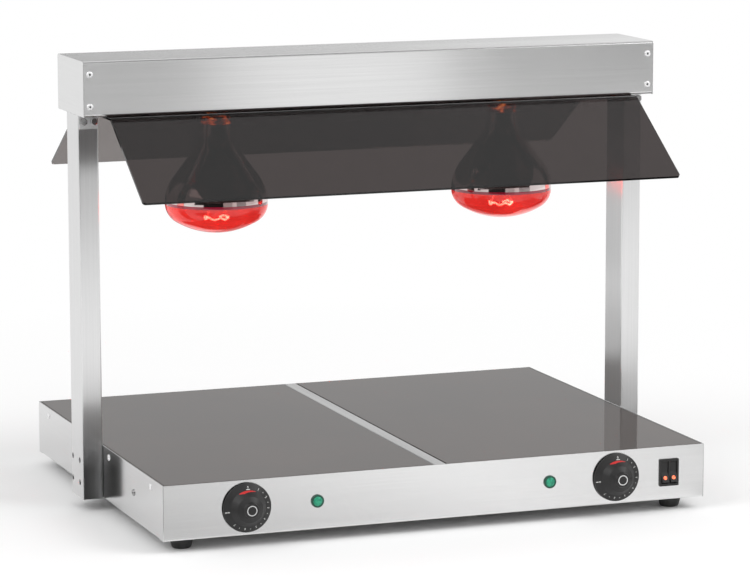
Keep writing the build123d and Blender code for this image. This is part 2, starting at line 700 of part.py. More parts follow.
def switch_housing():
    """The switch's flange and body, with a well and pivot holes for each rocker."""
    flange = RectangleRounded(SWITCH_FLANGE_WIDTH, SWITCH_FLANGE_HEIGHT, SWITCH_CORNER)
    housing = extrude(flange, amount=SWITCH_FLANGE)
    half_x = SWITCH_BODY_WIDTH / 2
    half_z = SWITCH_BODY_HEIGHT / 2
    housing += box(-half_x, half_x, -half_z, half_z, -SHEET - SWITCH_BODY_DEPTH, 0)
    rise = ROCKER_RADIUS + FIT
    floor = SWITCH_FLANGE - SWITCH_WELL_DEPTH
    for side in SIDES:
        x = rocker_offset(side)
        half = well_width() / 2
        housing -= box(x - half, x + half, -rise, rise, floor, 2 * SWITCH_FLANGE)
        housing -= pivot_pin(side, ROCKER_PIN_RADIUS + RUNNING, RUNNING)
    return on_front(SWITCH_X, SWITCH_CENTRE_HEIGHT) * housing


def lens_well(side, radius, depth):
    """A round block in a rocker's lower face, square to that face, before the rocker is tilted."""
    valley = Pos(rocker_offset(side), 0, ROCKER_PIVOT_DEPTH - ROCKER_VALLEY)
    seat = rod((0, -ROCKER_LENS_DROP, 0), (0, 0, -1), radius, depth)
    return valley * Rot(-ROCKER_TILT, 0, 0) * seat


def tilted(shape):
    """Turns a rocker's piece from its middle position to on, upper half pressed in, and seats it."""
    pivot = Pos(0, 0, SWITCH_FLANGE - ROCKER_PIVOT_DEPTH)
    return on_front(SWITCH_X, SWITCH_CENTRE_HEIGHT) * pivot * Rot(-ROCKER_TILT, 0, 0) * shape


def rocker(side):
    """One rocker: a shallow V between two ends that are round about the pivot, with its pin."""
    valley = ROCKER_PIVOT_DEPTH - ROCKER_VALLEY
    slope = Vector(0, 2 * ROCKER_RADIUS, 0).rotate(Axis.X, ROCKER_TILT)
    crest = valley + slope.Z
    upper = [(0, valley), (slope.Y, crest), (slope.Y, -ROCKER_BACK)]
    points = upper + [(-y, z) for y, z in upper[:0:-1]]
    section = make_face(Polyline(*points, close=True)) & Circle(ROCKER_RADIUS)
    width = well_width() - 2 * FIT
    start = rocker_offset(side) - width / 2
    body = prism_x(section, start, start + width)
    body += Pos(0, 0, ROCKER_PIVOT_DEPTH - SWITCH_FLANGE) * pivot_pin(side, ROCKER_PIN_RADIUS, 0)
    return tilted(body - lens_well(side, ROCKER_LENS_RADIUS + HOLE_FIT, ROCKER_LENS_DEPTH))


def rocker_lens(side):
    """The lit window set in a rocker's lower half."""
    return tilted(lens_well(side, ROCKER_LENS_RADIUS, ROCKER_LENS_DEPTH))


def switch_blades():
    """The tab terminals at the back of the switch."""
    back = -HALF_DEPTH + SHEET + SWITCH_BODY_DEPTH
    z = CASING_BOTTOM + SWITCH_CENTRE_HEIGHT
    blades = []
    for side in SIDES:
        x = SWITCH_X + rocker_offset(side)
        for row in (-1, 0, 1):
            level = z + row * BLADE_PITCH
            low = level - BLADE_THICKNESS / 2
            wide = BLADE_WIDTH / 2
            blades.append(box(x - wide, x + wide, back, back + BLADE_LENGTH, low, low + BLADE_THICKNESS))
    return group(blades)


# Mains inlet

def cable_gland():
    """The gland in the rear panel: a thread, a hexagon and a round cap, bored through."""
    gland = hex_blank(GLAND_FLATS, GLAND_BODY)
    gland += rod((0, 0, GLAND_BODY), (0, 0, 1), GLAND_CAP_RADIUS, GLAND_CAP)
    gland += rod((0, 0, 0), (0, 0, -1), GLAND_THREAD_RADIUS, SHEET + GLAND_THREAD_LENGTH)
    gland -= Cylinder(GLAND_BORE_RADIUS, 4 * (GLAND_BODY + GLAND_CAP))
    return place(gland, (GLAND_X, HALF_DEPTH, CASING_BOTTOM + GLAND_HEIGHT), (0, 1, 0))


def gland_locknut():
    """The gland's nut inside the rear panel."""
    nut = ring_nut(LOCKNUT_FLATS, LOCKNUT_HEIGHT, GLAND_THREAD_RADIUS)
    return place(nut, (GLAND_X, INNER_Y, CASING_BOTTOM + GLAND_HEIGHT), (0, -1, 0))


def terminal_block():
    """The mains terminal block on the floor sheet, in front of the gland."""
    start = GLAND_X - TERMINAL_LENGTH / 2
    back = INNER_Y - TERMINAL_SETBACK
    front = back - TERMINAL_DEPTH
    block = box(start, start + TERMINAL_LENGTH, front, back, FLOOR_TOP, FLOOR_TOP + TERMINAL_HEIGHT)
    pitch = TERMINAL_LENGTH / TERMINAL_WAYS
    well = Box(TERMINAL_WELL, TERMINAL_WELL, 2 * TERMINAL_WELL_DEPTH)
    for way in range(TERMINAL_WAYS):
        block -= Pos(start + (way + 0.5) * pitch, (front + back) / 2, FLOOR_TOP + TERMINAL_HEIGHT) * well
    return block


# Rivets and screws of the base

def side_rivets():
    """The pop rivets that hold the side rails to both walls."""
    rivet = pop_rivet()
    spots = [(side, y, z) for side in SIDES.values() for y, z in side_rivet_places()]
    return group([place(rivet, (side * HALF_WIDTH, y, z), (side, 0, 0)) for side, y, z in spots])


def earth_screw():
    """The earth screw on the left wall."""
    length = SHEET + M4_NUT + SCREW_END
    screw = pan_screw(M4_RADIUS, length, EARTH_SCREW_HEAD_RADIUS, EARTH_SCREW_HEAD)
    return place(screw, (-HALF_WIDTH, EARTH_SCREW_Y, CASING_BOTTOM + EARTH_SCREW_HEIGHT), (-1, 0, 0))


def m4_nuts():
    """The nuts of the feet's screws and of the earth screw."""
    nut = hex_nut(M4_FLATS, M4_NUT, M4_RADIUS)
    nuts = [Pos(x, y, FLOOR_TOP) * nut for x, y in foot_places()]
    earth = (-INNER_X, EARTH_SCREW_Y, CASING_BOTTOM + EARTH_SCREW_HEIGHT)
    return group(nuts + [place(nut, earth, (1, 0, 0))])


def post_screws():
    """The screws inside both posts that hold them to the walls' backing plates."""
    length = POST_WALL + SHEET + BACKING_PLATE
    screw = pan_screw(M4_RADIUS, length, POST_SCREW_HEAD_RADIUS, POST_SCREW_HEAD)
    spots = [(side, y, z) for side in SIDES.values() for y, z in post_screw_places()]
    face = HALF_WIDTH + POST_WALL
    return group([place(screw, (side * face, y, z), (side, 0, 0)) for side, y, z in spots])


# Posts and brackets

def bracket_bolt_places():
    """The (X, Z) places of the bolts through the left post's front and rear walls."""
    half = BRACKET_BOLT_SPACING / 2
    return [(-POST_CENTRE + x, HEADER_BOTTOM - BRACKET_BOLT_DROP) for x in (-half, half)]


def post():
    """The left post: a rectangular tube with access holes outside and screw holes inside."""
    top = HEADER_BOTTOM + SHEET
    outside = RectangleRounded(POST_WIDTH, POST_DEPTH, POST_CORNER)
    inside = RectangleRounded(POST_WIDTH - 2 * POST_WALL, POST_DEPTH - 2 * POST_WALL, POST_CORNER - POST_WALL)
    tube = Pos(-POST_CENTRE, 0, CASING_BOTTOM) * extrude(outside - inside, amount=top - CASING_BOTTOM)
    for y, z in post_screw_places():
        tube -= screw_hole((-HALF_WIDTH - 2 * POST_WALL, y, z), (1, 0, 0), M4_RADIUS, 3 * POST_WALL)
        tube -= rod((-HALF_WIDTH - POST_WIDTH / 2, y, z), (-1, 0, 0), POST_ACCESS_RADIUS, POST_WIDTH)
    for x, z in bracket_bolt_places():
        tube -= screw_hole((x, -POST_DEPTH, z), (0, 1, 0), M5_RADIUS, 2 * POST_DEPTH)
    return tube


def bracket():
    """The small angle between the left post's front face and the header's floor."""
    face = -POST_DEPTH / 2
    top = HEADER_BOTTOM + SHEET
    lip = -HEADER_HALF_DEPTH + HEADER_RETURN + FIT
    section = folded([(face, top - BRACKET_DROP), (face, top), (lip, top)], BRACKET_SHEET)
    half = POST_WIDTH / 2 - BRACKET_SIDE_GAP
    angle = prism_x(section, -POST_CENTRE - half, -POST_CENTRE + half)
    for x, z in bracket_bolt_places():
        angle -= screw_hole((x, face, z), (0, -1, 0), M5_RADIUS, 2 * BRACKET_SHEET)
    return angle


def brackets():
    """The four angles, front and rear of both posts."""
    front = [bracket(), other_side(bracket())]
    return group(front + [at_rear(angle) for angle in front])


def bracket_bolts():
    """The bolts that hold the four brackets to the posts."""
    length = BRACKET_SHEET + POST_WALL + BRACKET_BOLT_TAIL
    bolt = hex_bolt(M5_RADIUS, length, M5_FLATS, BRACKET_BOLT_HEAD)
    face = -POST_DEPTH / 2 - BRACKET_SHEET
    front_left = [place(bolt, (x, face, z), (0, -1, 0)) for x, z in bracket_bolt_places()]
    front = front_left + [other_side(b) for b in front_left]
    return group(front + [at_rear(b) for b in front])


# Header box

def header_rivet_places():
    """The (X, Z) places of the rivets in the header's front wall."""
    x = HEADER_HALF - HEADER_RIVET_END
    return [(side * x, HEADER_TOP - drop) for side in SIDES.values() for drop in HEADER_RIVET_DROPS]


def header_channel():
    """The header's top, front and rear, folded from one sheet with a return along each lower edge."""
    y = HEADER_HALF_DEPTH
    lip = y - HEADER_RETURN
    front = [(-lip, HEADER_BOTTOM), (-y, HEADER_BOTTOM), (-y, HEADER_TOP)]
    rear = [(-a, b) for a, b in reversed(front)]
    section = folded(rear[::-1] + front[::-1], SHEET, HEADER_BEND)
    channel = prism_x(section, -HEADER_INNER_X, HEADER_INNER_X)
    for x, z in header_rivet_places():
        channel -= screw_hole((x, -HEADER_DEPTH, z), (0, 1, 0), RIVET_RADIUS, 2 * HEADER_DEPTH)
    for x, y in guard_screw_places():
        channel -= screw_hole((x, y, HEADER_BOTTOM - SHEET), (0, 0, 1), M5_RADIUS, 3 * SHEET)
    return channel


def header_end_cap():
    """The left end plate, with a flange inside the channel's front and rear walls."""
    radius = HEADER_BEND + SHEET
    y = HEADER_HALF_DEPTH
    outline = FilletPolyline(
        (-y, HEADER_BOTTOM), (-y, HEADER_TOP), (y, HEADER_TOP), (y, HEADER_BOTTOM),
        radius=[0, radius, radius, 0], close=True,
    )
    cap = prism_x(make_face(outline), -HEADER_HALF, -HEADER_INNER_X)
    inside = y - SHEET
    bend = SHEET + HEADER_BEND + FIT
    low = HEADER_BOTTOM + bend
    high = HEADER_TOP - bend
    for end in ENDS.values():
        y = (end * inside, end * (inside - SHEET))
        cap += box(-HEADER_INNER_X, -HEADER_INNER_X + CAP_FLANGE, *y, low, high)
    for x, z in header_rivet_places():
        cap -= screw_hole((x, -HEADER_DEPTH, z), (0, 1, 0), RIVET_RADIUS, 2 * HEADER_DEPTH)
    return cap


def header_floor():
    """The plate that closes the header from below, with holes for the lamps and for wires from the posts."""
    half_x = HEADER_INNER_X - FIT
    half_y = HEADER_HALF_DEPTH - SHEET - HEADER_BEND - FIT
    plate = box(-half_x, half_x, -half_y, half_y, HEADER_FLOOR - SHEET, HEADER_FLOOR)
    for side in SIDES.values():
        start = (side * LAMP_SPACING / 2, 0, HEADER_BOTTOM)
        plate -= rod(start, (0, 0, 1), LAMP_HOLE_RADIUS, 4 * SHEET)
        wire = POST_WIDTH / 2 - 2 * POST_WALL - POST_CORNER
        plate -= rod((side * POST_CENTRE, 0, HEADER_BOTTOM), (0, 0, 1), wire, 4 * SHEET)
    for x, y in guard_screw_places():
        plate -= screw_hole((x, y, HEADER_BOTTOM), (0, 0, 1), M5_RADIUS, 4 * SHEET)
    return plate


def header_rivets():
    """The pop rivets that hold the end caps, front and rear."""
    rivet = pop_rivet()
    front = [place(rivet, (x, -HEADER_HALF_DEPTH, z), (0, -1, 0)) for x, z in header_rivet_places()]
    return group(front + [at_rear(r) for r in front])


# Lamps

def below_top(radius, drop, inset):
    """A point of the bulb's outline, given from the lamp's top, moved in by inset."""
    return Vector(radius - inset, LAMP_LENGTH - drop)


def bulb_outline(inset):
    """Half of the bulb's outline, from the face's middle to the neck's end, moved in by inset.

    The taper is the line from the neck's start that touches the shoulder's arc.
    """
    face_centre = Vector(0, LAMP_FACE_RADIUS)
    rim_centre = Vector(LAMP_RADIUS - LAMP_CORNER, LAMP_FACE_DEPTH)
    turn = math.degrees(math.asin(rim_centre.X / (LAMP_FACE_RADIUS - LAMP_CORNER)))
    face = CenterArc(face_centre, LAMP_FACE_RADIUS - inset, -90, turn)
    rim = CenterArc(rim_centre, LAMP_CORNER - inset, turn - 90, 90 - turn)
    neck = [below_top(*point, inset) for point in (LAMP_NECK_START, LAMP_NECK_END, LAMP_STEM)]
    stem_top = below_top(LAMP_STEM[0], LAMP_STEM_TOP, inset)
    shoulder_centre = Vector(LAMP_RADIUS - LAMP_SHOULDER_RADIUS, LAMP_FACE_DEPTH)
    shoulder_radius = LAMP_SHOULDER_RADIUS - inset
    to_neck = neck[0] - shoulder_centre
    taper = math.atan2(to_neck.Y, to_neck.X) - math.acos(shoulder_radius / to_neck.length)
    shoulder = CenterArc(shoulder_centre, shoulder_radius, 0, math.degrees(taper))
    body = FilletPolyline(shoulder @ 1, *neck, stem_top, radius=[LAMP_NECK_BLEND + inset, 0, 0])
    return [face, rim, shoulder, *body.order_edges()]


def at_lamp(side, height):
    """The place on a lamp's axis at a height."""
    return Pos(SIDES[side] * LAMP_SPACING / 2, 0, height)


def lamp_bulb(side):
    """The bulb: a glass shell with a rounded face and a tapered body, open at its neck, plain inside."""
    outer = bulb_outline(0)
    top = (0, LAMP_LENGTH - LAMP_STEM_TOP)
    closing = Polyline(outer[-1] @ 1, top, (0, 0))
    bulb = revolve(Plane.XZ * make_face([*outer, closing]), Axis.Z)
    inner = bulb_outline(LAMP_GLASS)
    cavity = []
    for edge in inner:
        shares = (0, 0.5) if edge.geom_type == GeomType.CIRCLE else (0,)
        cavity += [edge @ share for share in shares]
    cavity += [inner[-1] @ 1, top]
    return at_lamp(side, LAMP_BOTTOM) * (bulb - turned(cavity))


def lamp_cap(side):
    """The screw cap: a thin shell round the neck's end, an insulator and the foot contact."""
    end = LAMP_LENGTH - CAP_CONTACT - CAP_INSULATOR
    contact = LAMP_LENGTH - CAP_CONTACT
    bore = CAP_RADIUS - CAP_WALL
    start = LAMP_LENGTH - CAP_LENGTH
    outline = [(bore, start), (CAP_RADIUS, start), (CAP_RADIUS, end), (CAP_CONTACT_RADIUS, contact)]
    outline += [(CAP_CONTACT_RADIUS, LAMP_LENGTH), (0, LAMP_LENGTH), (0, end), (bore, end)]
    return at_lamp(side, LAMP_BOTTOM) * turned(outline)


def lamp_filament(side):
    """The glass stem in the neck, two lead wires and the filament's hoop."""
    flare = LAMP_STEM[0] - LAMP_GLASS - FIT
    top = LAMP_LENGTH - LAMP_STEM_TOP
    low = top - STEM_LENGTH
    seat = top - STEM_SEAT
    stem = rod((0, 0, low), (0, 0, 1), STEM_RADIUS, STEM_LENGTH)
    stem += rod((0, 0, seat), (0, 0, 1), flare, STEM_SEAT)
    hoop = RegularPolygon(FILAMENT_RADIUS, HEAD_SIDES) - RegularPolygon(FILAMENT_RADIUS - WIRE, HEAD_SIDES)
    mount = stem + Pos(0, 0, FILAMENT_HEIGHT) * extrude(hoop, amount=WIRE)
    for turn in SIDES.values():
        outer = turn * FILAMENT_RADIUS
        inner = outer - turn * WIRE
        mount += box(inner, outer, -WIRE / 2, WIRE / 2, FILAMENT_HEIGHT, low + 2 * WIRE)
        mount += box(0, outer, -WIRE / 2, WIRE / 2, low + WIRE, low + 2 * WIRE)
    return at_lamp(side, LAMP_BOTTOM) * mount


def lampholder(side):
    """The porcelain holder that the lamp screws into."""
    bore = CAP_RADIUS + FIT
    floor = LAMP_BOTTOM + LAMP_LENGTH + FIT - HEADER_FLOOR
    shoulder = HOLDER_LENGTH - HOLDER_SHOULDER
    crown = HOLDER_RADIUS - HOLDER_SHOULDER
    outline = [(bore, 0), (HOLDER_RADIUS, 0), (HOLDER_RADIUS, shoulder), (crown, HOLDER_LENGTH)]
    outline += [(0, HOLDER_LENGTH), (0, floor), (bore, floor)]
    return at_lamp(side, HEADER_FLOOR) * turned(outline)


def holder_strap(side):
    """The folded strap that a lampholder hangs from, standing on the header's floor."""
    top = HEADER_FLOOR + HOLDER_LENGTH
    x = STRAP_HALF_SPAN
    foot_end = x + STRAP_FOOT
    left = [(-foot_end, HEADER_FLOOR), (-x, HEADER_FLOOR), (-x, top)]
    right = [(-a, b) for a, b in reversed(left)]
    strap = prism_y(folded(left + right, STRAP_SHEET), -STRAP_WIDTH / 2, STRAP_WIDTH / 2)
    return at_lamp(side, 0) * strap


# Guards

def guard_screw_places():
    """The (X, Y) places of the screws that hold both guards under the header."""
    y = HEADER_HALF_DEPTH - HEADER_RETURN / 2
    return [(side * x, end * y) for x in GUARD_SCREW_X for side in SIDES.values() for end in ENDS.values()]


def guard():
    """The front guard: a bent sheet with a level flange and a sloping screen with rounded lower corners."""
    top = HEADER_BOTTOM
    points = [(-GUARD_REACH, top - GUARD_DROP), (-GUARD_BEND, top), (-GUARD_INNER_EDGE, top)]
    section = folded([(y, z) for y, z in reversed(points)], GUARD_THICKNESS, GUARD_BEND_RADIUS)
    half = HALF_WIDTH - GUARD_SIDE_GAP
    sheet = prism_x(section, -half, half)
    lowest = sheet.edges().filter_by(Axis.X, reverse=True).sort_by(Axis.Z)
    corners = [edge for edge in lowest if abs(edge.length - GUARD_THICKNESS) < HOLE_FIT][:2]
    sheet = fillet(corners, GUARD_CORNER)
    for x, y in guard_screw_places():
        sheet -= screw_hole((x, y, top + SHEET), (0, 0, -1), M5_RADIUS, 2 * GUARD_THICKNESS)
    return sheet


def guard_screws():
    """The screws from below that clamp the guards' flanges under the header."""
    length = GUARD_THICKNESS + 2 * SHEET + M5_NUT + SCREW_END
    screw = pan_screw(M5_RADIUS, length, GUARD_SCREW_HEAD_RADIUS, GUARD_SCREW_HEAD)
    low = HEADER_BOTTOM - GUARD_THICKNESS
    return group([place(screw, (x, y, low), (0, 0, -1)) for x, y in guard_screw_places()])


def guard_nuts():
    """The nuts of the guards' screws, inside the header."""
    nut = hex_nut(M5_FLATS, M5_NUT, M5_RADIUS)
    return group([Pos(x, y, HEADER_FLOOR) * nut for x, y in guard_screw_places()])


def both_sides(shape):
    """A left-hand piece and its right-hand twin in one node."""
    return group([shape, other_side(shape)])


def build():
    """Every node of the station, by name."""
    nodes = {
        "front_panel": front_panel(),
        "rear_panel": rear_panel(),
        "left_side_panel": left_side_panel(),
        "right_side_panel": other_side(side_panel()),
        "bottom_plate": bottom_plate(),
        "feet": group([Pos(x, y) * foot() for x, y in foot_places()]),
        "foot_screws": group([Pos(x, y) * foot_screw() for x, y in foot_places()]),
        "m4_nuts": m4_nuts(),
        "end_rails": group([end_rail(), at_rear(end_rail())]),
        "side_rails": both_sides(side_rail()),
        "side_rivets": side_rivets(),
        "centre_rail": centre_rail(),
        "centre_strip": centre_strip(),
        "left_glass_plate": glass_plate(),
        "right_glass_plate": other_side(glass_plate()),
        "glass_seals": both_sides(glass_seal()),
        "heater_mats": both_sides(heater_mat()),
        "insulation_pads": both_sides(insulation()),
        "heater_pans": both_sides(heater_pan()),
        "sensors": both_sides(sensor()),
        "thermostats": group([thermostat(x) for x in KNOB_X.values()]),
        "pilot_bodies": group([pilot_body(x) for x in PILOT_X.values()]),
        "pilot_lenses": group([pilot_lens(x) for x in PILOT_X.values()]),
        "pilot_nuts": group([pilot_nut(x) for x in PILOT_X.values()]),
        "switch_housing": switch_housing(),
        "switch_blades": switch_blades(),
        "cable_gland": cable_gland(),
        "gland_locknut": gland_locknut(),
        "terminal_block": terminal_block(),
        "earth_screw": earth_screw(),
        "left_post": post(),
        "right_post": other_side(post()),
        "backing_plates": both_sides(backing_plate()),
        "post_screws": post_screws(),
        "brackets": brackets(),
        "bracket_bolts": bracket_bolts(),
        "header_channel": header_channel(),
        "left_header_end_cap": header_end_cap(),
        "right_header_end_cap": other_side(header_end_cap()),
        "header_floor": header_floor(),
        "header_rivets": header_rivets(),
        "lampholders": group([lampholder(side) for side in SIDES]),
        "holder_straps": group([holder_strap(side) for side in SIDES]),
        "lamp_bulbs": group([lamp_bulb(side) for side in SIDES]),
        "lamp_caps": group([lamp_cap(side) for side in SIDES]),
        "lamp_filaments": group([lamp_filament(side) for side in SIDES]),
        "front_guard": guard(),
        "rear_guard": at_rear(guard()),
        "guard_screws": guard_screws(),
        "guard_nuts": guard_nuts(),
    }
    for side in SIDES:
        nodes[f"{side}_knob"] = knob(KNOB_X[side])
        nodes[f"{side}_spindle"] = spindle(KNOB_X[side])
        nodes[f"{side}_rocker"] = rocker(side)
        nodes[f"{side}_rocker_lens"] = rocker_lens(side)
    return nodes


os.makedirs("parts", exist_ok=True)
for node_name, node_shape in build().items():
    export_step(node_shape, f"parts/{node_name}.step")
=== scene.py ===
import json
import math

import bmesh
import bpy
from mathutils import Matrix, Vector


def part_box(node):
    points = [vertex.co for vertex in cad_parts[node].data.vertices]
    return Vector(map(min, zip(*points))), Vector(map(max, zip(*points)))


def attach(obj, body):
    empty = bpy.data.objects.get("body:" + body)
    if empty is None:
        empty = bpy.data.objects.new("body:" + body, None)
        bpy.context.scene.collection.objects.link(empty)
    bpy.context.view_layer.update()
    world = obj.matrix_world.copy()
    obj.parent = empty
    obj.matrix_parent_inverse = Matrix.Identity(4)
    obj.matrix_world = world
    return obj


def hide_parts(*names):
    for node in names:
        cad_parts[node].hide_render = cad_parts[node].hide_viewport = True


# The looks of a food-warming station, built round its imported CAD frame, in metres and in that frame

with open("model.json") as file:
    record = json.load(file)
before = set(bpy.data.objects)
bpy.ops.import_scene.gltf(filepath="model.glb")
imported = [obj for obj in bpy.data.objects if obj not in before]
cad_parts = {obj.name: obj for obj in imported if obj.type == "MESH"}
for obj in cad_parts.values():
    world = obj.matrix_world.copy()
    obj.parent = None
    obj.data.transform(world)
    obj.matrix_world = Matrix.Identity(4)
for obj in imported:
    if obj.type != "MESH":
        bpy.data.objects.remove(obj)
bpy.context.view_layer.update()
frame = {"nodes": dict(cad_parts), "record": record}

MM = 0.001
SIDES = ("left", "right")

# Camera at the photograph's angle: degrees, metres, and millimetres for the lens and sensor
VIEW_AZIMUTH = -20.34
VIEW_ELEVATION = 9.33
VIEW_ROLL = -0.09
VIEW_DISTANCE = 4.416
VIEW_TARGET = Vector((0.0184, 0.0, 0.2396))
LENS = 171.57
SENSOR = 36.0

# Studio: a floor that turns white further off, white surroundings, and lamps by place, size and power
FLOOR_SIZE = 60.0
FLOOR_LEVEL = 0.95
FLOOR_FADE = (0.6, 1.4)
AMBIENT = 0.8
SOFT_LAMPS = {
    "key": (Vector((2.6, -2.4, 3.2)), 2.6, 75.0),
    "fill": (Vector((-3.0, -1.2, 2.6)), 2.4, 35.0),
}

# Boards that only reflections see, as a photographer's flags: middle, size, how dark, turn, and kind.
# A soft board thins out to nothing along its X, a feathered one towards all its edges;
# one-sided boards show only to rays that run towards -Y; a rising one also thins out towards its top.
# In shares of a board's size: its edge and the rise's start from its middle, and the feather's width.
LYING = (0.0, 0.0, 0.0)
TURNED = (0.0, 0.0, math.pi)
UPRIGHT = (math.pi / 2, 0.0, 0.0)
BOARD_EDGE = 0.5
FEATHER = 0.12
RISING_FROM = -0.15
FLAGS = {
    "flag_camera": ((-1.4, -2.2, 0.38), (2.2, 0.76), 0.02, UPRIGHT, "plain"),
    "flag_front": ((0.1, -2.2, 0.5), (0.8, 1.0), 0.53, UPRIGHT, "plain"),
    "flag_right": ((1.75, -2.2, 0.58), (1.6, 0.84), 0.38, UPRIGHT, "plain"),
    "flag_left": ((-0.62, -0.42, 0.002), (0.44, 0.46), 0.1, LYING, "feathered"),
    "flag_corner": ((0.6, -0.1, 0.002), (0.5, 0.6), 0.12, LYING, "feathered"),
    "flag_near": ((-0.11, -0.6, 0.002), (0.54, 0.56), 0.53, LYING, "soft"),
    "flag_end": ((0.29, -0.58, 0.003), (0.3, 0.46), 0.78, TURNED, "soft"),
    "flag_far": ((0.72, -0.58, 0.002), (0.5, 0.46), 0.6, LYING, "plain"),
    "flag_post": ((-0.402, -0.045, 0.067), (0.12, 0.132), 0.06, UPRIGHT, "rising"),
    "flag_upper": ((-0.485, -0.215, 0.413), (0.33, 0.062), 0.03, UPRIGHT, "one-sided"),
    "flag_inner": ((-0.1, 1.5, 0.145), (0.88, 0.29), 0.05, UPRIGHT, "plain"),
    "flag_behind": ((-0.12, 1.12, 0.002), (0.66, 0.76), 0.5, LYING, "plain"),
    "flag_beside": ((0.15, 0.52, 0.002), (0.34, 0.44), 0.35, LYING, "plain"),
    "flag_top": ((0.85, -1.375, 2.0), (1.9, 2.85), 0.3, LYING, "feathered"),
    "flag_above": ((0.9, 0.78, 2.0), (2.4, 0.8), 0.8, LYING, "feathered"),
    "flag_back": ((0.25, 1.0, 0.74), (1.1, 0.44), 0.4, UPRIGHT, "soft"),
}

# Surface patterns: the span of values that is used, the noise, and the edges' rounding in the shading
PATTERN_SPAN = (0.3, 0.7)
NOISE_DETAIL = 3.0
NOISE_ROUGHNESS = 0.55
EDGE_RADIUS = 0.5 * MM

# Brushed sheet: the grain's repeats a metre, its contrast, and the steel's look by the grain's axis; the
# lightness by axis is painted light and shade, as the axis follows which way a piece faces
GRAIN_ALONG = 5.0
GRAIN_ACROSS = 620.0
GRAIN_FINE = 1900.0
STREAKS = 0.03
# Painted light and shade: one stainless sheet, lighter or darker by the way its pieces face
STEEL_PAINTED_LEVEL = {"X": 0.79, "Y": 0.68, "Z": 0.83}
STEEL_ROUGHNESS = {"X": (0.15, 0.2), "Y": (0.15, 0.2), "Z": (0.28, 0.33)}
STEEL_SMEAR = {"X": 0.6, "Y": 0.6, "Z": 1.0}
# The centre strip: the same sheet painted darker, a painted shade
STRIP_PAINTED_LEVEL = 0.5

# Tints of the guards; the photograph shows the rear one paler, and its paler tint is painted reflection, as
# both guards are one smoked sheet
FRONT_SMOKE = (0.04, 0.03, 0.029)
REAR_SMOKE_PAINTED_PALE = (0.162, 0.143, 0.137)

# Round pieces, and lengths that count as none
SEGMENTS = 96
FINE_SEGMENTS = 40
CORNER_STEPS = 5
SHARP_ANGLE = math.radians(32)
ON_AXIS = 1e-7
SAME_PLACE = 1e-6

# Lamps: sizes of the bulb's outline above its lowest point, as in the CAD model
LAMP_RADIUS = 62.5 * MM
LAMP_FACE_DEPTH = 36.0 * MM
LAMP_CORNER = 26.0 * MM
LAMP_SHOULDER = 50.0 * MM
LAMP_NECK = 19.0 * MM
LAMP_NECK_START = 110.5 * MM
LAMP_NECK_END = 138.0 * MM
LAMP_NECK_TOP = 17.2 * MM
LAMP_NECK_BLEND = 40.0 * MM
LAMP_NECK_CORNER = 2.0 * MM
LAMP_STEM = 12.2 * MM
LAMP_STEM_START = 144.0 * MM
LAMP_STEM_CORNER = 1.0 * MM
ARC_STEPS = 14

# The lamps' red light on the posts, from beside each bulb
GLOW_RED = (1.0, 0.1, 0.07)
GLOW_POWER = 0.05
GLOW_RADIUS = 20.0 * MM
GLOW_RISE = 30.6 * MM


